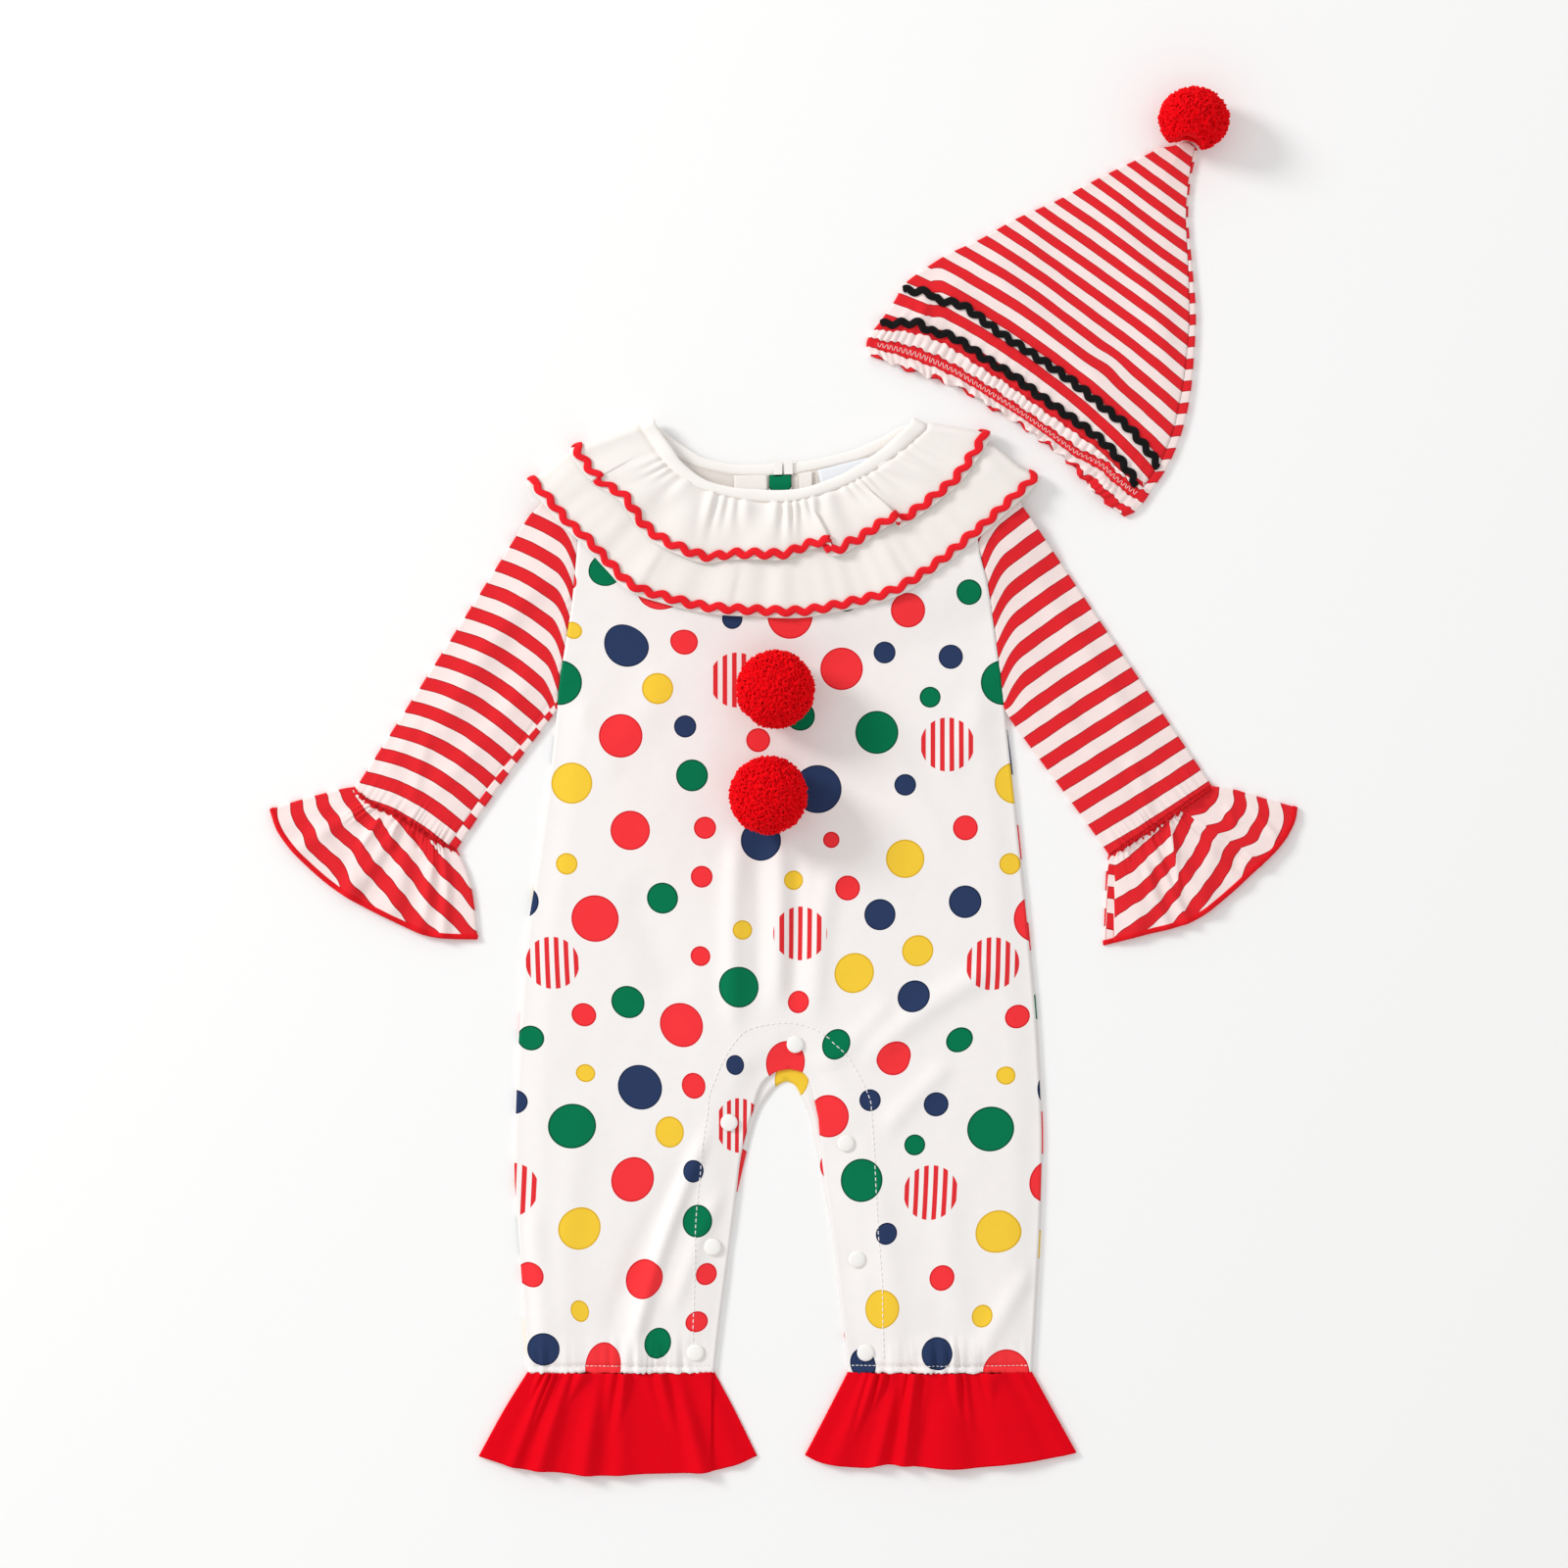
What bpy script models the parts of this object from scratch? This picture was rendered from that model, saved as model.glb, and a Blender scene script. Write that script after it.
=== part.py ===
"""Baby clown costume laid flat: a dotted romper with a two-tier ruffled collar, and a striped pointed hat.

X runs across the garment from its wearer's right (-X) to left (+X), Y from the leg hems up to the neck and
Z up from the surface that it lies on. Every size below is in millimetres, and the meshes are in metres.
Each piece is a middle surface, worked out from the tables and given the cloth's wall by a Solidify modifier.
"""
import math

import bmesh
import bpy
import mathutils
import numpy as np
from mathutils.geometry import delaunay_2d_cdt

MM = 0.001

# ---- Driving sizes ------------------------------------------------------------------------------------
CLOTH = 1.2  # wall of one layer of cloth
SEAM = 0.3  # gap that two pieces keep where they are sewn or lie together
LAYER = CLOTH + SEAM  # from one layer's middle to the next one's
BEND = 1.0  # radius of the middle surface where a tube is folded flat
PUFF = 1.9  # how far the front stands off the back away from the seams
PUFF_REACH = 18.0  # how far from a seam it has risen to that
UNDER_COLLAR = 4.3  # what the collar's back half adds below the garment
RICRAC_WALL = 1.0  # thickness of the ric rac braid
BINDING_WALL = 2.6  # thickness of the folded neck binding
POMPOM_CHEST = (23.4, 23.4, 20.5)  # half sizes of a chest pompom
POMPOM_HAT = (21.2, 19.2, 17.5)  # half sizes of the hat's pompom
LOCK = 2.6  # how far a lock of yarn stands out of the ball
SNAP_RADIUS = 5.0
OPENING = 0.6  # width of the centre-back slit
SLIT_X, SLIT_Y = -2, (179.2, 112)  # where it runs, from the neck down
BACK_SHOWS = 1.5  # how far the back's right side lies outside the front's
ARCH_TOP, ARCH_END = 0.64, 0.88  # where across the lower tier its bulge by the shoulder is widest, and ends
ARCH_RISE = 6.0  # how far that bulge goes
NECK_GATHERS, NECK_GATHER_RISE, HEM_WAVES = 19, 1.3, 7  # the upper tier's gathers at the neck and at the hem
PROUD = 0.45  # more of a gap under ric rac where the collar's front slopes
SLEEVE_UPPER, SLEEVE_UNDER = 11, 7  # points across a sleeve's upper and under layer
GATHERS = {"cuff": 9, "leg": 10, "hat": 18}  # ruffle waves across the layer that shows
GATHER_RISE = {"cuff": 2.6, "leg": 2.2, "hat": 1.6}  # height of those waves
RICRAC_RED = (11.5, 1.7, 3.5)  # wave length, swing to each side and width of the braid
RICRAC_BLACK = (9.4, 1.4, 4.2)
TIER_COLUMNS = {"upper": 76, "lower": 44}  # points along the front of a collar tier
TIER_RISE = {"upper": 2.5, "lower": 1.1}  # layers that a tier's front lies above the garment's
LABEL_WALL = 1.0
SNAP_RIM = [(1.0, 0.7), (0.8, 1.7)]  # (share of the radius, height) of a cap's edge
SNAP_TOP = 2.1
LOCK_EDGE = 1.9  # how much narrower all round a lock of yarn is at its tip

# ---- Outlines, as (x, y) points of smooth curves --------------------------------------------------------
NECK_FRONT = [(-79, 202), (-75, 195), (-68, 185), (-60, 178), (-48, 171), (-34, 167), (-18, 164), (0, 163.5),
              (14, 166), (30, 171), (45, 178), (58, 186), (70, 195), (79, 203)]
NECK_BACK = [(-79, 202), (-70, 194), (-57, 187), (-45, 183), (-27, 179.5), (-9, 178.5), (5, 180), (20, 183),
             (34, 186), (48, 190), (66, 197), (79, 203)]
FREE_FRONT = [(-72, 207), (-68, 198), (-62, 189), (-54, 182), (-44, 176), (-32, 172), (-17, 170), (0, 170),
              (14, 172), (32, 177.5), (49, 185.5), (65, 198), (73, 207)]
FREE_BACK = [(-72, 207), (-62, 199.5), (-48, 192), (-32, 187.5), (-17, 186), (-3, 187), (11, 188.5),
             (32, 195), (49, 201), (62, 206), (73, 207)]
UPPER_HEM = [(-119, 192), (-110, 179), (-98, 170.5), (-91, 165), (-82, 151.5), (-72, 143), (-59, 136.5),
             (-45, 132), (-30, 133.5), (-15, 133.5), (2, 134), (20, 140), (34, 136), (48, 144), (60, 154),
             (72, 155), (86, 166), (99, 177), (108, 189), (115, 200)]
LOWER_HEM = [(-145, 174.5), (-137, 166), (-126, 153), (-113, 141), (-100, 127), (-88, 115.5), (-68, 108.5),
             (-45, 103), (-17, 101), (10, 100.5), (36, 105), (62, 112), (82, 123.5), (102, 139),
             (120, 154.5), (134, 167.5), (144, 177)]
UPPER_HEM_BACK = [(-119, 192), (-98, 172), (-65, 155), (-30, 146), (0, 144), (30, 147), (65, 157),
                  (96, 176), (115, 200)]
LOWER_HEM_BACK = [(-145, 174.5), (-125, 150), (-90, 126), (-45, 112), (0, 108), (45, 113), (90, 128),
                  (124, 153), (144, 177)]
SHOULDER = {"left": [(-79, 202), (-112, 191)], "right": [(79, 203), (107, 192)]}
ARMHOLE = {"left": [(-112, 191), (-117, 176), (-119, 158), (-120, 138), (-123, 108), (-127, 82), (-130.5, 60),
                    (-132, 44)],
           "right": [(107, 192), (110, 176), (113, 138), (118, 117), (122, 92), (125.5, 66), (128, 48)]}
SIDE = {"left": [(-132, 43), (-137, 0), (-145, -57), (-150, -91), (-154, -142), (-156, -188), (-157, -222),
                 (-155.5, -251), (-152.5, -291), (-149, -342)],
        "right": [(128, 47), (136, -28), (142.5, -91), (147, -142), (149.5, -188), (150, -214), (149, -251),
                  (147, -291), (144, -342)]}
INSEAM = {"left": [(-19.5, -194.5), (-25, -216), (-28, -240), (-33.5, -282), (-38, -316), (-41, -342)],
          "right": [(20, -194.5), (22.5, -222), (28.5, -265), (32.5, -299), (37.5, -342)]}
INSEAM_BACK = {"left": [(-19.5, -205), (-25, -228), (-29, -247), (-33.5, -282), (-38, -316), (-41, -342)],
               "right": [(17, -205), (21.5, -226), (25.5, -248), (28.5, -265), (32.5, -299), (37.5, -342)]}
CROTCH_FRONT = [(-19.5, -194.5), (-13.5, -176), (-5.5, -168), (3, -166), (11, -168), (15.5, -175),
                (20, -194.5)]
CROTCH_BACK = [(-19.5, -205), (-17, -196.5), (-13.5, -188), (-7.5, -179.5), (-3, -175), (1.5, -173),
               (6, -175), (9, -179.5), (12.5, -188), (15.5, -196.5), (17, -205)]
SLEEVE_OUTER = {"left": [(-112, 191), (-130, 175), (-144, 159), (-151, 151), (-199, 76), (-247, 1),
                         (-250, -2)],
                "right": [(107, 192), (124, 178), (137.5, 162.5), (193, 81), (249, -1.5)]}
SLEEVE_INNER = {"left": [(-132, 43), (-135, 40), (-161.5, 5), (-175, -14), (-191, -38)],
                "right": [(128, 47), (132, 38), (160, 0), (178, -24.5), (189.5, -41)]}
GATHER = {"left": [(-250, -2), (-238.5, -11.5), (-225.5, -17), (-213.5, -24.5), (-203, -31.5), (-191, -38)],
          "right": [(249, -1.5), (233, -12), (218, -22), (203, -32), (189.5, -41)]}
CUFF_OUTER = {"left": [(-250, -2), (-259, -3.5), (-281.5, -9.5), (-299, -15)],
              "right": [(249, -1.5), (262, -3.5), (272, -6.5), (298.5, -14)]}
CUFF_INNER = {"left": [(-191, -38), (-184, -54), (-180.5, -73), (-179, -90)],
              "right": [(189.5, -41), (188, -52), (186.5, -93.5)]}
CUFF_HEM = {"left": [(-299, -15), (-294, -28), (-283.5, -41.5), (-266, -57.5), (-250, -68), (-232.5, -77),
                     (-210.5, -87), (-196, -89.5), (-179, -90)],
            "right": [(298.5, -14), (296, -24), (287.5, -37), (270, -54), (252.5, -69.5), (235.5, -80.5),
                      (207.5, -88), (186.5, -93.5)]}
LEG_TOP = {"left": [(-149, -342.5), (-95, -343), (-41, -342.5)],
           "right": [(144, -342.5), (91, -343), (37.5, -342.5)]}
LEG_OUTER = {"left": [(-149, -342.5), (-163, -365), (-177.5, -391.5)],
             "right": [(144, -342.5), (157, -366), (170, -389.5)]}
LEG_INNER = {"left": [(-41, -342.5), (-29, -365), (-16, -391.5)],
             "right": [(37.5, -342.5), (25, -367), (12.5, -391)]}
LEG_HEM = {"left": [(-177.5, -391.5), (-155.5, -398), (-138, -400), (-107.5, -402.5), (-82.5, -401.5),
                    (-47.5, -400.5), (-30, -397), (-16, -391.5)],
           "right": [(170, -389.5), (154.5, -392.5), (134, -395.5), (99.5, -398.5), (60.5, -396),
                     (46.5, -398), (23.5, -395.5), (12.5, -391)]}
HAT_LEFT = [(219, 371), (210, 365.5), (184.5, 353), (158, 339), (134.5, 328.5), (114.5, 317), (96, 308.5),
            (81, 299), (70.5, 291), (64.5, 281), (57, 270), (53, 265)]
HAT_RIGHT = [(240.5, 373), (236.5, 351.5), (235, 333), (235.5, 322), (237.5, 300), (239.5, 275), (238.5, 250),
             (236, 225), (231, 204), (223, 185), (213, 170)]
HAT_SEAM = [(238.5, 366), (233.5, 351.5), (230.5, 333.5), (229, 313.5), (230.5, 285), (233.5, 259.5),
            (234.5, 239.5), (230.5, 221), (223.5, 202), (216, 186), (207, 174)]
HAT_AWAY = (-0.56, -0.83)  # the way that the hat's and each sleeve's ruffle hangs
CUFF_AWAY = {"left": (-0.55, -0.83), "right": (0.55, -0.83)}
HAT_TIP = [(219, 371), (230, 373), (240.5, 373)]
BAND_TOP = [(53, 265), (79, 263), (99, 254), (115, 243), (131, 233), (147, 221), (165, 208.5), (183, 194),
            (198, 180), (213, 170)]
BAND_LEFT = [(53, 265), (49, 259), (48.5, 254.5), (50.5, 249.5)]
BAND_RIGHT = [(213, 170), (209, 164), (204.5, 159), (198, 156)]
BAND_HEM = [(50.5, 249.5), (70.5, 241.5), (89.5, 235), (104.5, 229), (124.5, 216.5), (138, 208.5), (151, 199),
            (166.5, 186.5), (176, 175), (188, 163.5), (198, 156)]
HAT_RICRAC = {1: [(69, 288.5), (85.5, 284.5), (105.5, 277), (125.5, 262), (145.5, 249), (165.5, 235.5),
                  (187.5, 217.5), (200.5, 207), (210, 196), (215, 189.5)],
              2: [(58, 270.5), (81.5, 267), (101.5, 258), (117.5, 247), (133.5, 237), (149.5, 225),
                  (167.5, 212.5), (186.5, 198), (199.5, 183), (203, 177.5)]}

UNDERLAP = [(-8, 175), (-8, 108), (7, 108), (7, 175.5), (-0.5, 175)]
LABEL = [(20.5, 181), (24.5, 161.5), (52.5, 167.5), (48.5, 187)]

# (x, y) of the snap caps and of the pompoms
SNAPS = [(6.5, -151.5), (-32, -197), (-41.5, -269.5), (-51.5, -331), (36, -209), (42.5, -276.5), (47.5, -331)]
CHEST_POMPOMS = {"top": (-5, 54.5), "bottom": (-9, -6.5)}
HAT_POMPOM = (237, 384.5)

# Creases in the front: (x, y) of both ends, half width, height of the ridge (below 0 it is a trough)
CREASES = [(-27, -34, -29, -137, 7, 1.6), (-3, -30, -4, -125, 6, 1.6), (28, -46, 18, -131, 7, 1.4),
           (120, -108, 51, -157, 12, 1.7), (94, -165, 60, -200, 10, 1.4), (-47, -208, -88, -328, 7, 1.8),
           (-37, -240, -63, -302, 7, 1.3), (142, -285, 114, -333, 9, 1.6), (-85, -60, -63, -120, 14, -1.2),
           (-146, -250, -140, -330, 8, 1.2)]
# The same on the sleeves and the hat
SLEEVE_CREASES = [(-140, 120, -200, 30, 10, 1.6), (-150, 60, -205, -5, 9, 1.4), (-214, 40, -232, 5, 8, 1.4),
                  (146, 118, 205, 25, 10, 1.6), (160, 50, 205, -10, 9, 1.4), (224, 30, 238, 8, 8, 1.2)]
HAT_CREASES = [(120, 300, 200, 222, 12, 1.7), (92, 292, 150, 244, 10, 1.6), (190, 335, 222, 250, 10, 1.6)]


# ---- Curves and surfaces --------------------------------------------------------------------------------
def along(points, share):
    """The smooth curve through points, read at shares (0 to 1) of its length."""
    p = np.array(points, float)
    p = np.vstack([2 * p[0] - p[1], p, 2 * p[-1] - p[-2]])
    t = np.linspace(0, 1, 13)[:-1, None]
    runs = [0.5 * (2 * b + (c - a) * t + (2 * a - 5 * b + 4 * c - d) * t**2 + (3 * b - a - 3 * c + d) * t**3)
            for a, b, c, d in zip(p, p[1:], p[2:], p[3:])]
    fine = np.vstack(runs + [p[-2:-1]])
    reach = np.concatenate([[0], np.cumsum(np.linalg.norm(np.diff(fine, axis=0), axis=1))])
    return np.column_stack([np.interp(np.asarray(share) * reach[-1], reach, axis) for axis in fine.T])


def steps(count):
    return np.linspace(0, 1, count)


def smooth(t):
    t = np.clip(t, 0, 1)
    return t * t * (3 - 2 * t)


def distance(x, y, path):
    """From each (x, y) to the polyline path."""
    x, y = np.asarray(x, float), np.asarray(y, float)
    best = np.full(x.shape, np.inf)
    for (ax, ay), (bx, by) in zip(path, path[1:]):
        ux, uy = bx - ax, by - ay
        t = np.clip(((x - ax) * ux + (y - ay) * uy) / (ux * ux + uy * uy), 0, 1)
        best = np.minimum(best, np.hypot(x - ax - t * ux, y - ay - t * uy))
    return best


def nearest(x, y, paths):
    return np.minimum.reduce([distance(x, y, path) for path in paths])


def patch(left, right, first, last, u, v):
    """Coons patch: u runs from curve first to curve last, v from curve left to curve right."""
    u, v = np.asarray(u, float)[:, None, None], np.asarray(v, float)[None, :, None]
    sides = (1 - v) * along(left, u.ravel())[:, None] + v * along(right, u.ravel())[:, None]
    ends = (1 - u) * along(first, v.ravel())[None] + u * along(last, v.ravel())[None]
    a, b, c, d = (np.array(p, float) for p in (first[0], first[-1], last[0], last[-1]))
    return sides + ends - (1 - u) * ((1 - v) * a + v * b) - u * ((1 - v) * c + v * d)


def creases(x, y, table):
    """Soft ridges and troughs along straight lines, fading out at both ends."""
    height = np.zeros_like(np.asarray(x, float))
    for ax, ay, bx, by, width, rise in table:
        ux, uy = bx - ax, by - ay
        t = ((x - ax) * ux + (y - ay) * uy) / (ux * ux + uy * uy)
        off = ((x - ax) * uy - (y - ay) * ux) / math.hypot(ux, uy)
        fade = smooth((t + 0.15) / 0.3) * smooth((1.15 - t) / 0.3)
        height += rise * fade * np.exp(-((off / width) ** 2))
    return height


# ---- Heights of the layers ------------------------------------------------------------------------------
SHUT = [along(SHOULDER[s], steps(2)) for s in SHOULDER] + [along(SIDE[s], steps(14)) for s in SIDE]
SHUT += [along(INSEAM[s], steps(8)) for s in INSEAM] + [along(CROTCH_FRONT, steps(12))]


def past_sleeve(x, y):
    """0 over the garment, rising to 1 beyond the sleeves' upper edges, where the collar overhangs them."""
    left = (x + 112) * -0.716 + (y - 191) * 0.698
    right = (x - 107) * 0.69 + (y - 192) * 0.724
    return smooth((np.where(x < 0, left, right) - 1) / 12)


def under(x, y):
    """Middle of the garment's under layer: on the surface, and over the collar's back half near the neck."""
    q = np.hypot(x / 150, np.minimum(y - 200, 0) / 97)
    return CLOTH / 2 + UNDER_COLLAR * (1 - smooth((q - 1.03) / 0.35))


def front_height(x, y):
    """Middle of the front layer: it stands off the back except along the closed seams."""
    hem = 1 - 0.6 * smooth((-300 - y) / 42)
    puff = PUFF * hem * smooth(nearest(x, y, SHUT) / PUFF_REACH) * (1 - past_sleeve(x, y))
    calm = smooth(nearest(x, y, SHUT) / 8)
    for sx, sy in SNAPS:
        calm = calm * (1 - np.exp(-((np.hypot(x - sx, y - sy) / 8) ** 2)))
    return under(x, y) + LAYER + puff + calm * creases(x, y, CREASES)


def surface(x, y):
    """Middle of a layer that lies on the surface itself, as all of the hat does."""
    return np.full(np.shape(x), CLOTH / 2)


def tube_height(edges, floor, table=()):
    """Height function of a tube's upper layer: low at its folded edges, puffed between them."""
    lines = [along(edge, steps(12)) for edge in edges]

    def height(x, y):
        inner = smooth(nearest(x, y, lines) / PUFF_REACH)
        return floor(x, y) + 2 * BEND + inner * (PUFF + LAYER - 2 * BEND + creases(x, y, table))

    return height


# ---- Meshes ---------------------------------------------------------------------------------------------
def material(colour, roughness=0.85):
    name = "cloth " + colour
    if name in bpy.data.materials:
        return bpy.data.materials[name]
    made = bpy.data.materials.new(name)
    made.use_nodes = True
    shader = made.node_tree.nodes["Principled BSDF"]
    srgb = [int(colour[i:i + 2], 16) / 255 for i in (0, 2, 4)]
    linear = [c / 12.92 if c <= 0.04045 else ((c + 0.055) / 1.055) ** 2.4 for c in srgb]
    shader.inputs["Base Color"].default_value = (*linear, 1)
    shader.inputs["Roughness"].default_value = roughness
    return made


def add(name, points, faces, colour, wall=None):
    """A named object from points in millimetres, with a wall of that thickness round its middle surface."""
    mesh = bpy.data.meshes.new(name)
    mesh.from_pydata((np.asarray(points) * MM).tolist(), [], [list(map(int, face)) for face in faces])
    mesh.shade_smooth()
    mesh.materials.append(material(colour))
    made = bpy.data.objects.new(name, mesh)
    bpy.context.scene.collection.objects.link(made)
    if wall:
        solid = made.modifiers.new("wall", "SOLIDIFY")
        solid.thickness = wall * MM
        solid.offset = 0
    return made


def sheet(name, grid, colour, wall=CLOTH, closed=False):
    """An object from a grid of points. A closed grid joins its last column to its first."""
    rows, columns = grid.shape[:2]
    number = np.arange(rows * columns).reshape(rows, columns)
    if closed:
        number = np.column_stack([number, number[:, 0]])
    faces = [(a[j], a[j + 1], b[j + 1], b[j]) for a, b in zip(number, number[1:]) for j in range(len(a) - 1)]
    return add(name, grid.reshape(-1, 3), faces, colour, wall)


def inside(points, outline):
    """Whether each point lies inside the closed outline."""
    x, y = points.T
    hit = np.zeros(len(points), bool)
    for (ax, ay), (bx, by) in zip(outline, np.roll(outline, -1, axis=0)):
        if ay != by:
            hit ^= ((ay > y) != (by > y)) & (x < (bx - ax) * (y - ay) / (by - ay) + ax)
    return hit


def filled(outline, spacing, row):
    """The outline's points, a row of points that far inside it, and a lattice between, as triangles."""
    outline = np.asarray(outline, float)
    ahead, behind = np.roll(outline, -1, axis=0), np.roll(outline, 1, axis=0)
    way = (ahead - behind) / np.linalg.norm(ahead - behind, axis=1)[:, None]
    inset = (outline + row * np.column_stack([-way[:, 1], way[:, 0]]))[::2]
    loop = [tuple(p) for p in outline] + [tuple(outline[0])]
    low, high = outline.min(axis=0), outline.max(axis=0)
    ys = np.arange(low[1], high[1], spacing * 0.87)
    lattice = np.array([(x + (k % 2) * spacing / 2, y) for k, y in enumerate(ys)
                        for x in np.arange(low[0], high[0], spacing)])
    off = distance(inset[:, 0], inset[:, 1], loop)
    inset = inset[(off > 0.8 * row) & inside(inset, outline)]
    off = distance(lattice[:, 0], lattice[:, 1], loop)
    lattice = lattice[(off > row + 0.45 * spacing) & inside(lattice, outline)]
    points = np.vstack([outline, inset, lattice])
    made = delaunay_2d_cdt([tuple(p) for p in points], [], [list(range(len(outline)))], 1, 1e-5)
    return np.array([tuple(p) for p in made[0]]), made[2]


def panel(name, outline, height, colour, spacing, row=5.0, wall=CLOTH):
    """A flat-laid piece: its outline filled, and raised to height(x, y)."""
    points, faces = filled(outline, spacing, row)
    z = height(points[:, 0], points[:, 1])
    return add(name, np.column_stack([points, z]), faces, colour, wall)


def run(points, count):
    """A stretch of an outline without its last point, which the next stretch starts at."""
    return along(points, steps(count))[:-1]


def across(points, count):
    """Shares along a tube's line where its flat layers have their points, with room for the folds."""
    margin = BEND / np.linalg.norm(np.subtract(points[-1], points[0]))
    return margin + (1 - 2 * margin) * steps(count)


def sewn(points, count, back=False):
    """The same as run, with its points where the tube sewn along it has its own, reversed if back."""
    stretch = along(points, np.concatenate([[0], across(points, count), [1]]))
    return stretch[::-1][:-1] if back else stretch[:-1]


def ring(line, upper, floor, upper_count, under_count):
    """One ring of a tube folded flat: upper layer, inner fold, under layer, outer fold."""
    top = along(line, across(line, upper_count))
    low = along(line, across(line, under_count)[::-1])
    top = np.column_stack([top, upper(top[:, 0], top[:, 1])])
    low = np.column_stack([low, floor(low[:, 0], low[:, 1])])
    bends = []
    for start, end, corner in ((top[-1], low[0], line[-1]), (low[-1], top[0], line[0])):
        middle = (start + end) / 2
        out = corner - middle[:2]
        rise = (start[2] - end[2]) / 2
        bends.append([(*(middle[:2] + out * math.cos(a)), middle[2] + rise * math.sin(a))
                      for a in (0.85, 0, -0.85)])
    return np.vstack([top, bends[0], low, bends[1]])


# ---- The pieces -----------------------------------------------------------------------------------------
WHITE, RED, IVORY, BLACK = "F1ECE8", "E2001A", "F7F4EE", "1A1A1A"
GREEN, BLUISH, PLASTIC = "00784D", "EDF0F4", "FBFAF8"
STRIPE = "EE8D90"  # the mean of the red and white stripes


def body_panels():
    """Front and back, joined to each other along the shoulders, the side seams and the snapped inseam."""
    front = [run(NECK_FRONT[::-1], 24), run(SHOULDER["left"], 4), sewn(ARMHOLE["left"], SLEEVE_UPPER),
             run(SIDE["left"], 26), run(LEG_TOP["left"], 10), run(INSEAM["left"][::-1], 14),
             run(CROTCH_FRONT, 11), run(INSEAM["right"], 14), run(LEG_TOP["right"][::-1], 10),
             run(SIDE["right"][::-1], 26), sewn(ARMHOLE["right"], SLEEVE_UPPER, back=True),
             run(SHOULDER["right"][::-1], 4)]
    panel("front", np.vstack(front), front_height, WHITE, 16.5)
    ends = smooth(4 * steps(14)[:-1, None]) * smooth(4 * (1 - steps(14)[:-1, None]))
    right_side = run(SIDE["right"][::-1], 14) + (BACK_SHOWS, 0) * ends
    left_neck, right_neck = [p for p in NECK_BACK if p[0] < -3], [p for p in NECK_BACK if p[0] > 0]
    slit = [(SLIT_X + OPENING / 2, y) for y in SLIT_Y] + [(SLIT_X - OPENING / 2, y) for y in SLIT_Y[::-1]]
    back = [run(right_neck[::-1], 8), slit, run(left_neck[::-1], 8), run(SHOULDER["left"], 4),
            sewn(ARMHOLE["left"], SLEEVE_UNDER), run(SIDE["left"], 14), run(LEG_TOP["left"], 5),
            run(INSEAM_BACK["left"][::-1], 8), run(CROTCH_BACK, 11), run(INSEAM_BACK["right"], 8),
            run(LEG_TOP["right"][::-1], 5), right_side, sewn(ARMHOLE["right"], SLEEVE_UNDER, back=True),
            run(SHOULDER["right"][::-1], 4)]
    panel("back", np.vstack(back), under, WHITE, 30, row=10)


def sleeve(side):
    """A striped sleeve: a tube folded flat, from the armhole to the gathered wrist."""
    edges = SLEEVE_OUTER[side], SLEEVE_INNER[side]
    upper = tube_height(edges, under, SLEEVE_CREASES)
    gap = -SEAM if side == "left" else SEAM
    armhole = np.array(ARMHOLE[side], float) + (gap, 0)
    armhole[[0, -1]] += [(2 * gap, 0), (gap, CLOTH)]
    lines = patch(*edges, armhole, GATHER[side], steps(9), steps(41))
    lines[0] = along(armhole, steps(41))
    rings = np.array([ring(line, upper, under, SLEEVE_UPPER, SLEEVE_UNDER) for line in lines])
    sheet(f"sleeve_{side}", rings, STRIPE, closed=True)


def flounce(name, kind, edges, first, last, colour, away, rows=4, under_count=8):
    """A gathered ruffle: a flat tube whose upper layer waves, sewn on at its first line. away is a unit
    vector from that seam."""
    gathers, tall = GATHERS[kind], GATHER_RISE[kind]
    share = steps(rows)
    lines = patch(*edges, first, last, share, steps(33))
    lines[0] += np.array(away) * 2 * SEAM
    base = tube_height(edges, surface)
    rings = []
    for u, line in zip(share, lines):
        start, way = line[0], line[-1] - line[0]

        def upper(x, y, u=u, start=start, way=way):
            v = ((x - start[0]) * way[0] + (y - start[1]) * way[1]) / (way @ way)
            turn = gathers * v + 0.3 * np.sin(7 * v + 1) + 0.2 * np.sin(17 * v)
            swell = tall * (0.35 + 0.65 * smooth(u / 0.5)) * smooth(5 * v) * smooth(5 * (1 - v))
            return base(x, y) + swell * (0.5 - 0.5 * np.cos(2 * math.pi * turn))

        rings.append(ring(line, upper, surface, 4 * gathers + 1, under_count))
    return sheet(name, np.array(rings), colour, closed=True)


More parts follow.
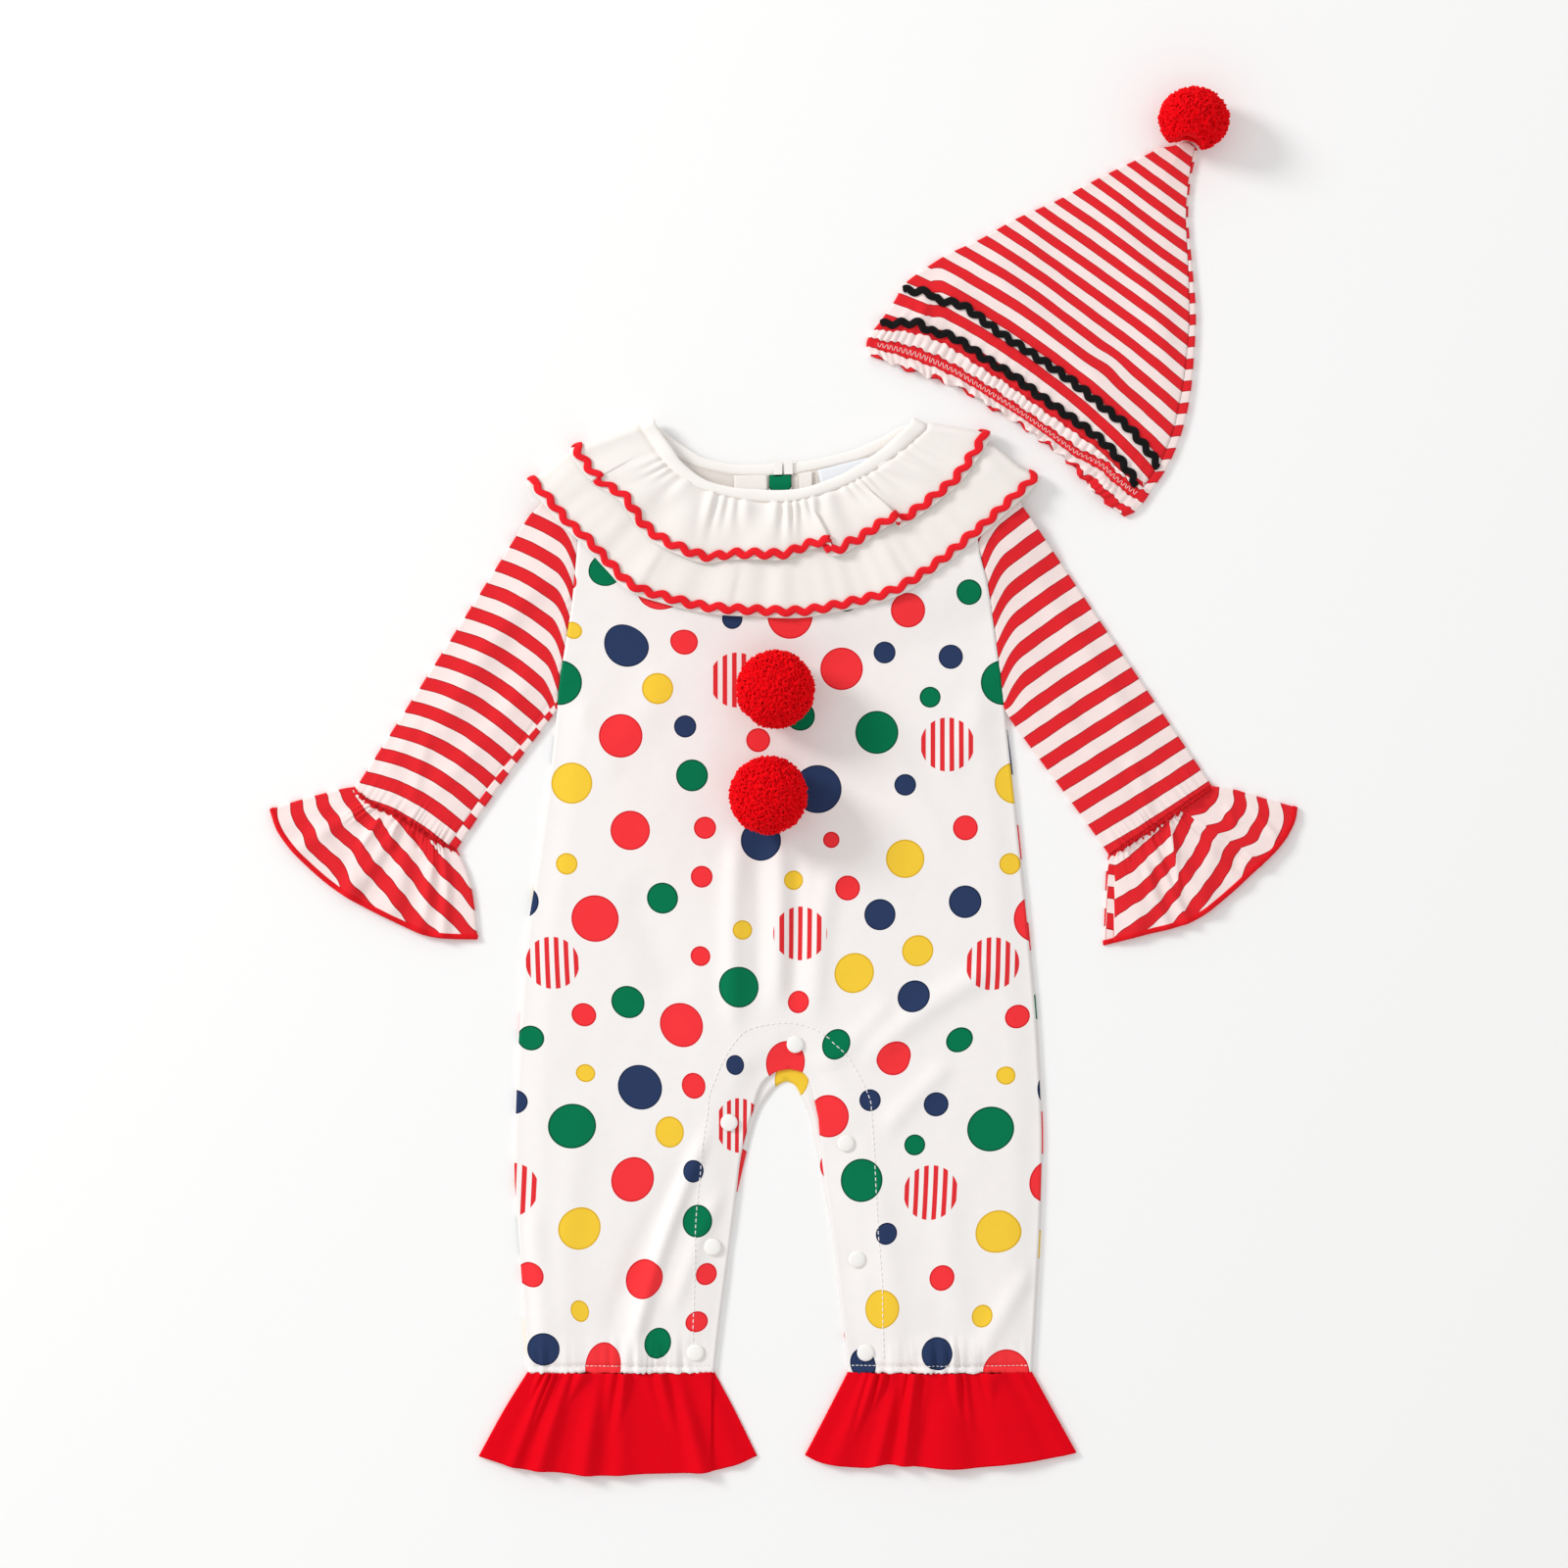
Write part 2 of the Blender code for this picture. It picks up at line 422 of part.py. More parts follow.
def hat():
    """A cone folded flat. The front ends at the right seam, and the back rolls round the right edge to it."""
    edges = HAT_LEFT, HAT_RIGHT
    upper = tube_height(edges, surface, HAT_CREASES)
    seam = along(HAT_SEAM, steps(80))
    front, back = [], []
    for line in patch(*edges, HAT_TIP, BAND_TOP, steps(12), steps(61)):
        whole = ring(line, upper, surface, 2, 9)
        far = np.concatenate([[0], np.cumsum(np.linalg.norm(np.diff(line, axis=0), axis=1))])
        cut = far[np.linalg.norm(line[:, None] - seam[None], axis=2).min(axis=1).argmin()]
        first = along(line, (BEND + (cut - SEAM - BEND) * steps(14)) / far[-1])
        last = along(line, (cut + SEAM + (far[-1] - BEND - cut - SEAM) * steps(3)) / far[-1])
        front.append(np.vstack([whole[-2:], np.column_stack([first, upper(*first.T)])]))
        back.append(np.vstack([np.column_stack([last, upper(*last.T)]), whole[2:-2]]))
    sheet("hat_front", np.array(front), STRIPE)
    sheet("hat_back", np.array(back), STRIPE)
    flounce("hat_band", "hat", (BAND_LEFT, BAND_RIGHT), BAND_TOP, BAND_HEM, STRIPE, HAT_AWAY, rows=3)
    return upper


def braid(name, place, length, size, colour, bends=()):
    """Ric rac, a zigzag strip. place(s, side) is the point at s (0 to 1) along it, that far to its left."""
    wave, swing, width = size
    turns = round(length / wave)
    rows = []
    for s in sorted([*steps(2 * turns + 1), *bends]):
        middle = swing * (4 * abs(s * turns % 1 - 0.5) - 1)
        rows.append([place(s, middle + width / 2), place(s, middle - width / 2)])
    sheet(name, np.array(rows), colour, wall=RICRAC_WALL)


def hat_braids(upper):
    for number, path in HAT_RICRAC.items():
        def place(s, side, path=path):
            here, ahead = along(path, [s]), along(path, [min(s + 0.02, 1)])
            behind = along(path, [max(s - 0.02, 0)])
            way = (ahead - behind)[0] / np.linalg.norm(ahead - behind)
            x, y = here[0] + side * np.array((-way[1], way[0]))
            z = float(upper(np.array([x]), np.array([y]))[0])
            return x, y, z + CLOTH / 2 + 2 * SEAM + RICRAC_WALL / 2

        length = np.linalg.norm(np.diff(along(path, steps(60)), axis=0), axis=1).sum()
        braid(f"hat_ricrac_{number}", place, length, RICRAC_BLACK, BLACK)


# ---- The collar: bands that run from the back opening over one shoulder, round the front and back again ----
class Band:
    """A strip between an inner and an outer edge. t runs 0 to 1 along the back's left half, to 2 over the
    left shoulder, to 3 along the front, to 4 over the right shoulder and to 5 along the back's right half,
    and v from the inner edge to the outer one."""

    def __init__(self, front, back, over, beneath, waves=None, arch=0.0):
        self.front, self.back, self.arch = front, back, arch
        self.over, self.beneath, self.waves = over, beneath, waves or (lambda share, v: 0)

    def edge(self, curves, share, v):
        arch = np.clip(np.minimum(v / ARCH_TOP, (ARCH_END - v) / (ARCH_END - ARCH_TOP)), 0, 1)
        arch = self.arch * arch * (1 - smooth(10 * share) + smooth(10 * share - 9))
        xy = along(curves[0], share) * (1 - v[:, None]) + along(curves[1], share) * v[:, None]
        return xy + np.column_stack([0 * arch, arch])

    def lying(self, t, v):
        """Points of the front half (t from 2 to 3) or of a back half."""
        half = 0.5 - OPENING / 300
        is_front = (t >= 2) & (t <= 3)
        back_share = np.where(t < 2, half * (1 - t), 1 - half * (t - 4))
        share = np.clip(np.where(is_front, t - 2, back_share), 0, 1)
        xy = np.where(is_front[:, None], self.edge(self.front, share, v), self.edge(self.back, share, v))
        high = self.over(xy[:, 0], xy[:, 1]) + self.waves(share, v)
        return np.column_stack([xy, np.where(is_front, high, self.beneath(xy[:, 0], xy[:, 1], v))])

    def at(self, t, v):
        """Points at t and v, with the half turn over each shoulder."""
        t, v = np.broadcast_arrays(np.asarray(t, float), np.asarray(v, float))
        points = self.lying(np.where((t > 1) & (t < 2), 1, np.where((t > 3) & (t < 4), 4, t)), v)
        for first, front_t, back_t, turn in ((1, 2, 1, 1), (3, 3, 4, -1)):
            on = (t > first) & (t < first + 1)
            top, low = (self.lying(np.full(on.sum(), float(end)), v[on]) for end in (front_t, back_t))
            angle = math.pi * (t[on] - first - 0.5) * turn
            radius = (top[:, 2] - low[:, 2]) / 2
            out = np.column_stack([-turn * 0.28 * np.cos(angle), 0.96 * np.cos(angle), np.sin(angle)])
            points[on] = (top + low) / 2 + radius[:, None] * out
        return points

    def grid(self, ts, vs):
        return np.array([self.at(np.full(len(vs), t), np.array(vs)) for t in ts])

    def lifted(self, t, v, lift):
        """Points that far off the outer face."""
        t, v = np.atleast_1d(np.asarray(t, float)), np.atleast_1d(np.asarray(v, float))
        along_t = self.at(np.minimum(t + 0.004, 5), v) - self.at(np.maximum(t - 0.004, 0), v)
        along_v = self.at(t, v + 0.02) - self.at(t, v - 0.02)
        normal = np.cross(along_v, along_t)
        return self.at(t, v) + lift * normal / np.linalg.norm(normal, axis=1)[:, None]


def stack(level):
    return lambda x, y: front_height(x, y) + level * LAYER


def ruffle_waves(count, tall, broad):
    """Gathers that are fine at the neck and die out into a few broad waves at the hem."""
    def waves(share, v):
        turn = count * share + 0.35 * np.sin(9 * share) + 0.25 * np.sin(23 * share + 2)
        ends = smooth(6 * share) * smooth(6 * (1 - share))
        fine = (0.5 - 0.5 * np.cos(2 * math.pi * turn)) * np.exp(-((v - 0.3) / 0.4) ** 2)
        wide = (0.5 - 0.5 * np.cos(2 * math.pi * (broad * share + 0.3 * np.sin(8 * share)))) * smooth(v)
        return ends * (tall * fine + 0.8 * tall * wide)
    return waves


def collar():
    low_z = CLOTH / 2 + RICRAC_WALL + SEAM

    def upper_beneath(x, y, v):
        return np.full(np.shape(x), low_z)

    def lower_beneath(x, y, v):
        return low_z + LAYER * (1 - smooth((v - ARCH_TOP) / (ARCH_END - ARCH_TOP)))

    upper = Band((NECK_FRONT, UPPER_HEM), (NECK_BACK, UPPER_HEM_BACK), stack(TIER_RISE["upper"]),
                 upper_beneath, ruffle_waves(NECK_GATHERS, NECK_GATHER_RISE, HEM_WAVES))
    lower = Band((NECK_FRONT, LOWER_HEM), (NECK_BACK, LOWER_HEM_BACK), stack(TIER_RISE["lower"]),
                 lower_beneath, arch=ARCH_RISE)
    back = [0, 0.17, 0.33, 0.5, 0.67, 0.83, 1]
    fold = [1.25, 1.5, 1.75]
    for tier, band, reach in (("upper", upper, [0.012, 0.2, 0.5, 0.8, 1.13]),
                              ("lower", lower, [0.006, 0.3, ARCH_TOP, ARCH_END, 1.07])):
        front = list(2 + steps(TIER_COLUMNS[tier] + 1))
        ts = back + fold + front + [t + 2 for t in fold] + [t + 4 for t in back]
        sheet(f"collar_{tier}", band.grid(ts, reach), IVORY)
    band_braid("ricrac_upper", upper)
    band_braid("ricrac_lower", lower)
    bind = Band((NECK_FRONT, FREE_FRONT), (NECK_BACK, FREE_BACK),
                lambda x, y: front_height(x, y) + CLOTH / 2 + SEAM + BINDING_WALL / 2,
                lambda x, y, v: under(x, y) - (BINDING_WALL - CLOTH) / 2)
    ts = back + fold + list(2 + steps(27)) + [t + 2 for t in fold] + [t + 4 for t in back]
    sheet("neck_binding", bind.grid(ts, [0.05, 0.5, 1.0]), WHITE, wall=BINDING_WALL)


def band_braid(name, band):
    """Ric rac sewn round a collar tier, on its outer face."""
    ts = np.linspace(0, 5, 700)
    far = np.linalg.norm(np.diff(band.at(ts, np.ones(700)), axis=0), axis=1)
    reach = np.concatenate([[0], np.cumsum(far)])
    lift = CLOTH / 2 + SEAM + RICRAC_WALL / 2

    def place(s, side):
        t = np.interp(s, reach / reach[-1], ts)
        width = np.linalg.norm(band.at([t], [1.0]) - band.at([t], [0.0]))
        proud = PROUD * (smooth(4 * (t - 1)) - smooth(4 * (t - 3.75)))
        return band.lifted(t, 1 + side / width, lift + proud)[0]

    bends = [np.interp(t, ts, reach / reach[-1]) for t in (1, 1.25, 1.5, 1.75, 2, 3, 3.25, 3.5, 3.75, 4)]
    braid(name, place, reach[-1], RICRAC_RED, RED, bends)


def inside_back():
    """The opening's underlap and the bare label, which lie on the back inside the neck."""
    def height(x, y):
        return under(x, y) + LAYER

    panel("underlap", UNDERLAP, height, GREEN, 20)
    panel("label", LABEL, height, BLUISH, 20, wall=LABEL_WALL)


def snaps():
    """Domed snap caps, seven of them up the inseam and over the crotch."""
    sides = 10
    turn = np.arange(sides) * 2 * math.pi / sides
    for number, (x, y) in enumerate(SNAPS, 1):
        circle = SNAP_RADIUS * np.column_stack([np.cos(turn), np.sin(turn)])
        disc = np.vstack([circle, [(0, 0)]]) + (x, y)
        z = front_height(*disc.T).max() + CLOTH / 2 + SEAM
        rings = [np.column_stack([circle, np.zeros(sides)])]
        rings += [np.column_stack([circle * share, np.full(sides, rise)]) for share, rise in SNAP_RIM]
        points = np.vstack([[(0, 0, 0)], *rings, [(0, 0, SNAP_TOP)]]) + (x, y, z)
        faces = []
        for k in range(sides):
            n = (k + 1) % sides
            columns = [(1 + r * sides + k, 1 + r * sides + n) for r in range(len(rings))]
            faces.append((0, columns[0][1], columns[0][0]))
            faces += [(a[0], a[1], b[1], b[0]) for a, b in zip(columns, columns[1:])]
            faces.append((*columns[-1], len(points) - 1))
        add(f"snap_{number}", points, faces, PLASTIC)


def pompom(name, centre, half, rest, dent=None):
    """A ball of yarn: each face of an icosphere stands out as a three-sided lock. rest is the height that it
    lies at, and dent (x low, x high, y) a place that it keeps clear of."""
    shape = bmesh.new()
    bmesh.ops.create_icosphere(shape, subdivisions=2, radius=1.0)
    for vert in shape.verts:
        vert.co = [c * (h - LOCK) for c, h in zip(vert.co, half)]
    shape.normal_update()
    bmesh.ops.inset_individual(shape, faces=list(shape.faces), thickness=LOCK_EDGE, depth=LOCK)
    low = min(vert.co.z for vert in shape.verts)
    for vert in shape.verts:
        vert.co += mathutils.Vector((*centre, rest - low))
        if dent and vert.co.y < dent[2] and dent[0] < vert.co.x < dent[1]:
            vert.co.y = dent[2]
    points = np.array([tuple(vert.co) for vert in shape.verts])
    faces = [tuple(vert.index for vert in face.verts) for face in shape.faces]
    add(name, points, faces, RED)
    shape.free()


def main():
    for old in list(bpy.data.objects):
        bpy.data.objects.remove(old)
    body_panels()
    for side in ("left", "right"):
        sleeve(side)
        flounce(f"cuff_{side}", "cuff", (CUFF_OUTER[side], CUFF_INNER[side]), GATHER[side], CUFF_HEM[side],
                STRIPE, CUFF_AWAY[side])
        flounce(f"leg_ruffle_{side}", "leg", (LEG_OUTER[side], LEG_INNER[side]), LEG_TOP[side],
                LEG_HEM[side], RED, (0, -1))
    hat_braids(hat())
    collar()
    inside_back()
    snaps()
    for name, (x, y) in CHEST_POMPOMS.items():
        top = front_height(np.array([x]), np.array([y]))[0] + CLOTH / 2
        pompom(f"pompom_{name}", (x, y), POMPOM_CHEST, top + SEAM)
    dent = (HAT_TIP[0][0] - 5, HAT_TIP[-1][0] + 5.5, HAT_TIP[1][1] + 2 * SEAM)
    pompom("hat_pompom", HAT_POMPOM, POMPOM_HAT, SEAM, dent)


main()
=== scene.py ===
# %% [markdown]
# # A baby's clown costume, laid flat
# It is a romper of dotted cotton with a two-tier ruffled collar, striped sleeves and gathered ruffles, and a
# striped pointed hat. Both lie on a table, so nearly all of it is thin cloth that rests on other cloth. That
# decides how it is made: each piece of cloth is a surface over the table, given by its outline and by a height
# at every point, and a Solidify modifier gives it a wall. A cloth simulation would also settle the pieces, but
# the folds then fall where they like, and here they have places.

import math

import bpy
import numpy as np
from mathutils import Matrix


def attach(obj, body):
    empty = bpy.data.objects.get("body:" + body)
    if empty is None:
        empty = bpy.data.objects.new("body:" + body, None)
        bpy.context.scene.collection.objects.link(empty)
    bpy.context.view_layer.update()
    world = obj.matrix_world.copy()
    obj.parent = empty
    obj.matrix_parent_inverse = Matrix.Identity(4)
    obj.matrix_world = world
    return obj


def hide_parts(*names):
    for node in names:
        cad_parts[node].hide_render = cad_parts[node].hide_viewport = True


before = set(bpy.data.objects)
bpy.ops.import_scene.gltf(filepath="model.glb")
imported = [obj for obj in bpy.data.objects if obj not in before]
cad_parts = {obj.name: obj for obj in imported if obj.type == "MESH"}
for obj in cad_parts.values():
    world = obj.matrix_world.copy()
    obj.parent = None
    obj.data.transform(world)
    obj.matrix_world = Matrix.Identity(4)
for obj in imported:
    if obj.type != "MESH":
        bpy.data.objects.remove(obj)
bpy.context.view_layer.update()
MM = 0.001
print("nodes:", len(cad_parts))

# %% [markdown]
# ## Curves and patches
# A pattern cutter works from outlines. Here an outline is a short list of points in millimetres, and a smooth
# spline goes through them. A patch fills the room between four such curves, the way a piece of cloth hangs
# between four seams: this is the Coons patch, and it keeps the grid's lines running with the edges.

# %% Curves
def steps(count):
    return np.linspace(0, 1, count)


def smooth(t):
    """0 below 0, 1 above 1, and 3t^2 - 2t^3 between."""
    t = np.clip(t, 0, 1)
    return t * t * (3 - 2 * t)


def wave(turn):
    """One soft ridge for each whole turn, from 0 up to 1 and back."""
    return 0.5 - 0.5 * np.cos(2 * np.pi * turn)


def bell(t):
    """exp(-t^2): 1 at 0, and next to nothing beyond 2."""
    return np.exp(-(t * t))


def faded(share, slope):
    """1 along the middle, and down to 0 at both ends of a share from 0 to 1."""
    return smooth(slope * share) * smooth(slope * (1 - share))


def unit(vectors):
    return vectors / np.linalg.norm(vectors, axis=-1, keepdims=True)


def raised(xy, z):
    """Points (..., xyz) from (..., xy) and their heights, or a function of x and y that gives them."""
    z = z(xy[..., 0], xy[..., 1]) if callable(z) else z
    return np.concatenate([xy, z[..., None]], axis=-1)


def angles(count):
    return np.linspace(0, 2 * np.pi, count + 1)[:-1]


def rounds(side, up, sides):
    """The sides points cos(a) * side + sin(a) * up of an ellipse, for each pair of vectors."""
    a = angles(sides)[:, None]
    return np.cos(a) * side[..., None, :] + np.sin(a) * up[..., None, :]


def curve(points, share):
    """The Catmull-Rom spline through points, read at shares (0 to 1) of its length: (..., 2) for share (...)."""
    p = np.array(points, float)
    p = np.vstack([2 * p[0] - p[1], p, 2 * p[-1] - p[-2]])
    t = steps(17)[:-1, None]
    runs = [0.5 * (2 * b + (c - a) * t + (2 * a - 5 * b + 4 * c - d) * t**2 + (3 * b - a - 3 * c + d) * t**3)
            for a, b, c, d in zip(p, p[1:], p[2:], p[3:])]
    fine = np.vstack(runs + [p[-2:-1]])
    reach = np.concatenate([[0], np.cumsum(np.linalg.norm(np.diff(fine, axis=0), axis=1))])
    return np.stack([np.interp(np.asarray(share) * reach[-1], reach, axis) for axis in fine.T], axis=-1)


def length_of(points):
    return np.linalg.norm(np.diff(curve(points, steps(200)), axis=0), axis=1).sum()


def patch(left, right, first, last, u, v):
    """Coons patch: the two ruled surfaces between opposite curves, added, less the corners' bilinear one.
    u runs from first to last, v from left to right; both may be grids."""
    u, v = np.broadcast_arrays(u, v)
    sides = (1 - v)[..., None] * curve(left, u) + v[..., None] * curve(right, u)
    ends = (1 - u)[..., None] * curve(first, v) + u[..., None] * curve(last, v)
    a, b, c, d = (np.array(p, float) for p in (first[0], first[-1], last[0], last[-1]))
    u, v = u[..., None], v[..., None]
    return sides + ends - (1 - u) * ((1 - v) * a + v * b) - u * ((1 - v) * c + v * d)


def distance(x, y, paths):
    """From each point to the nearest of some polylines."""
    best = np.full(np.shape(x), np.inf)
    for path in paths:
        for (ax, ay), (bx, by) in zip(path, path[1:]):
            ux, uy = bx - ax, by - ay
            t = np.clip(((x - ax) * ux + (y - ay) * uy) / (ux * ux + uy * uy), 0, 1)
            best = np.minimum(best, np.hypot(x - ax - t * ux, y - ay - t * uy))
    return best


# %% [markdown]
# ## The outlines
# All of them are in millimetres, with X to the right, Y towards the neck and the origin at the middle of the
# laid-out set. "left" and "right" are the viewer's. NECK is the neck's seam, FREE the free edge of its
# binding, and UPPER_HEM and LOWER_HEM belong to the collar's tiers. BACK ends the names of the hidden half.

# %% Outlines of the romper
NECK_FRONT = [(-82, 205.5), (-75, 195), (-68, 185), (-60, 178), (-48, 171), (-34, 167), (-18, 164), (0, 163.5),
              (14, 166), (30, 171), (45, 178), (58, 186), (70, 195), (82, 206)]
NECK_BACK = [(-82, 205.5), (-70, 194), (-57, 187), (-45, 183), (-27, 179.5), (-9, 178.5), (5, 180), (20, 183),
             (34, 186), (48, 190), (66, 197), (82, 206)]
FREE_FRONT = [(-74.5, 209.2), (-70.5, 202.5), (-64, 193.5), (-58.5, 186), (-46, 176.7), (-32, 172.5), (-18, 171),
              (0, 170.5), (14, 172.5), (32, 179), (42, 184.5), (51, 190.3), (57.6, 195), (65.4, 202), (73.5, 209.8)]
FREE_BACK = [(-74.5, 209.2), (-71, 206), (-63.5, 200), (-55, 194.3), (-46, 189.5), (-36, 187), (-24, 185.6),
             (-5.5, 186.4), (8, 187.2), (19, 189), (32, 192), (41, 194.5), (49, 198), (57.6, 202), (65, 206.5),
             (73.5, 209.8)]
UPPER_HEM = [(-119, 192), (-110, 179), (-98, 170.5), (-91, 165), (-82, 151.5), (-72, 143), (-59, 136.5),
             (-45, 132), (-30, 133.5), (-15, 133.5), (0, 133.5), (13, 138.5), (23, 141), (26.5, 136.5), (32, 136),
             (38, 140), (45, 143.2), (52.5, 149), (62, 155), (67, 152), (74, 157), (86, 166), (99, 177),
             (108, 189), (115, 200)]
LOWER_HEM = [(-145, 174.5), (-137, 166), (-126, 153), (-113, 141), (-100, 127), (-88, 115.5), (-68, 108.5),
             (-45, 103), (-17, 101), (10, 100.5), (36, 105), (62, 112), (82, 123.5), (102, 139),
             (120, 154.5), (134, 167.5), (144, 177)]
UPPER_HEM_BACK = [(-119, 192), (-98, 172), (-65, 155), (-30, 146), (0, 144), (30, 147), (65, 157),
                  (96, 176), (115, 200)]
LOWER_HEM_BACK = [(-145, 174.5), (-125, 150), (-90, 126), (-45, 112), (0, 108), (45, 113), (90, 128),
                  (124, 153), (144, 177)]
SHOULDER = {"left": [(-79, 202), (-112, 191)], "right": [(79, 203), (107, 192)]}
ARMHOLE = {"left": [(-112, 191), (-117, 176), (-119, 158), (-120, 138), (-123, 108), (-127, 82), (-130.5, 60),
                    (-132, 44)],
           "right": [(107, 192), (110, 176), (113, 138), (118, 117), (122, 92), (125.5, 66), (128, 48)]}
SIDE = {"left": [(-132, 43), (-137, 0), (-145, -57), (-150, -91), (-154, -142), (-156, -188), (-157, -222),
                 (-155.5, -251), (-152.5, -291), (-149, -342)],
        "right": [(128, 47), (136, -28), (142.5, -91), (147, -142), (149.5, -188), (150, -214), (149, -251),
                  (147, -291), (144, -342)]}
INSEAM = {"left": [(-19.5, -194.5), (-25, -216), (-28, -240), (-33.5, -282), (-38, -316), (-41, -342)],
          "right": [(20, -194.5), (22.5, -222), (28.5, -265), (32.5, -299), (37.5, -342)]}
INSEAM_BACK = {"left": [(-19.5, -205), (-25, -228), (-29, -247), (-33.5, -282), (-38, -316), (-41, -342)],
               "right": [(17, -205), (21.5, -226), (25.5, -248), (28.5, -265), (32.5, -299), (37.5, -342)]}
CROTCH = {"left": [(3, -166), (-5.5, -168), (-13.5, -176), (-19.5, -194.5)],
          "right": [(3, -166), (11, -168), (15.5, -175), (20, -194.5)]}
CROTCH_BACK = {"left": [(1.5, -173), (-3, -175), (-7.5, -179.5), (-13.5, -188), (-17, -196.5), (-19.5, -205)],
               "right": [(1.5, -173), (6, -175), (9, -179.5), (12.5, -188), (15.5, -196.5), (17, -205)]}
SLEEVE_OUTER = {"left": [(-112, 191), (-130, 175), (-144, 159), (-151, 151), (-199, 76), (-247, 1),
                         (-250, -2)],
                "right": [(107, 192), (124, 178), (137.5, 162.5), (193, 81), (249, -1.5)]}
SLEEVE_INNER = {"left": [(-132, 43), (-135, 40), (-161.5, 5), (-175, -14), (-191, -38)],
                "right": [(128, 47), (132, 38), (160, 0), (178, -24.5), (189.5, -41)]}
GATHER = {"left": [(-250, -2), (-238.5, -11.5), (-225.5, -17), (-213.5, -24.5), (-203, -31.5), (-191, -38)],
          "right": [(249, -1.5), (233, -12), (218, -22), (203, -32), (189.5, -41)]}
CUFF_OUTER = {"left": [(-250, -2), (-259, -3.5), (-281.5, -9.5), (-299, -15)],
              "right": [(249, -1.5), (262, -3.5), (272, -6.5), (298.5, -14)]}
CUFF_INNER = {"left": [(-191, -38), (-184, -54), (-180.5, -73), (-179, -90)],
              "right": [(189.5, -41), (188, -52), (186.5, -93.5)]}
CUFF_HEM = {"left": [(-299, -15), (-294, -28), (-283.5, -41.5), (-266, -57.5), (-250, -68), (-232.5, -77),
                     (-210.5, -87), (-196, -89.5), (-179, -90)],
            "right": [(298.5, -14), (296, -24), (287.5, -37), (270, -54), (252.5, -69.5), (235.5, -80.5),
                      (207.5, -88), (186.5, -93.5)]}
LEG_TOP = {"left": [(-149, -342.5), (-95, -343), (-41, -342.5)],
           "right": [(144, -342.5), (91, -343), (37.5, -342.5)]}
LEG_OUTER = {"left": [(-149, -342.5), (-163, -365), (-177.5, -391.5)],
             "right": [(144, -342.5), (157, -366), (170, -389.5)]}
LEG_INNER = {"left": [(-41, -342.5), (-29, -365), (-16, -391.5)],
             "right": [(37.5, -342.5), (25, -367), (12.5, -391)]}
LEG_HEM = {"left": [(-177.5, -391.5), (-155.5, -398), (-138, -400), (-107.5, -402.5), (-82.5, -401.5),
                    (-47.5, -400.5), (-30, -397), (-16, -391.5)],
           "right": [(170, -389.5), (154.5, -392.5), (134, -395.5), (99.5, -398.5), (60.5, -396),
                     (46.5, -398), (23.5, -395.5), (12.5, -391)]}
SLIT_END = 112  # y of the back opening's lower end
SNAPS = [(6.5, -151.5), (-32, -197), (-41.5, -269.5), (-51.5, -331), (36, -209), (42.5, -276.5), (47.5, -331)]

# %% Outlines of the hat
HAT_LEFT = [(219, 370.3), (210, 365.5), (184.5, 353), (158, 339), (134.5, 328.5), (114.5, 317), (96, 308.5),
            (81, 299), (70.5, 291), (64.5, 281), (57, 270), (53, 265)]
HAT_RIGHT = [(240.3, 369.8), (236.5, 351.5), (235, 333), (235.5, 322), (237.5, 300), (239.5, 275), (238.5, 250),
             (236, 225), (231, 204), (223, 185), (213, 170)]
HAT_SEAM = [(239.2, 370.8), (236, 354), (234, 331), (234.8, 312), (235.7, 293), (236, 277), (235.4, 260.5),
            (233.8, 242), (230.8, 223), (226, 204.5), (219, 187), (208.5, 172)]
HAT_TIP = [(219, 370.3), (224, 371), (228.5, 372), (233.7, 374), (237.5, 372.4), (240.3, 369.8)]
BAND_TOP = [(53, 265), (79, 263), (99, 254), (115, 243), (131, 233), (147, 221), (165, 208.5), (183, 194),
            (198, 180), (213, 170)]
BAND_LEFT = [(53, 265), (49, 259), (48.5, 254.5), (50.5, 249.5)]
BAND_RIGHT = [(213, 170), (209, 164), (204.5, 159), (198, 156)]
BAND_HEM = [(50.5, 249.5), (70.5, 241.5), (89.5, 235), (104.5, 229), (124.5, 216.5), (138, 208.5), (151, 199),
            (166.5, 186.5), (176, 175), (188, 163.5), (198, 156)]
HAT_RICRAC = {1: [(69, 287.5), (77, 286.7), (84.5, 285.5), (88, 282), (96, 280), (105.5, 277), (125.5, 262),
                  (145.5, 249), (165.5, 235.5), (187.5, 217.5), (200.5, 207), (210, 196), (215, 189.5),
                  (218.3, 184)],
              2: [(56, 267.5), (68, 268), (79, 267.5), (84, 263.5), (92, 262), (101.5, 258), (117.5, 247),
                  (133.5, 237), (149.5, 225), (167.5, 212.5), (186.5, 198), (199.5, 183), (203, 177.5),
                  (205.8, 173.8)]}

# %% [markdown]
# ## Heights
# Cloth on a table lies in layers. The back rests on the table, the front on the back, and the collar's two
# tiers on the front. Near a closed seam the front comes down to the back, and away from it a little air keeps
# it up. On top of that come creases. Each one is a straight or slightly bowed line with a soft ridge or
# trough across it, which fades out at both ends, as a fold does where the cloth is held flat again.

# %% Layers
CLOTH, WALL = 1.2, 0.8  # the room that a layer of cloth takes, and the wall that it is given here
LAYER = 1.5  # from one layer to the next
BEND = 1.0  # radius of a fold
PUFF, PUFF_REACH = 1.9, 18.0  # the air in a closed piece, and how far in from a seam it is all there
UNDER_COLLAR = 4.3  # how far the collar's back half lifts what lies on it
HEM_LINE = -338.5  # y of the stitches round the leg hems

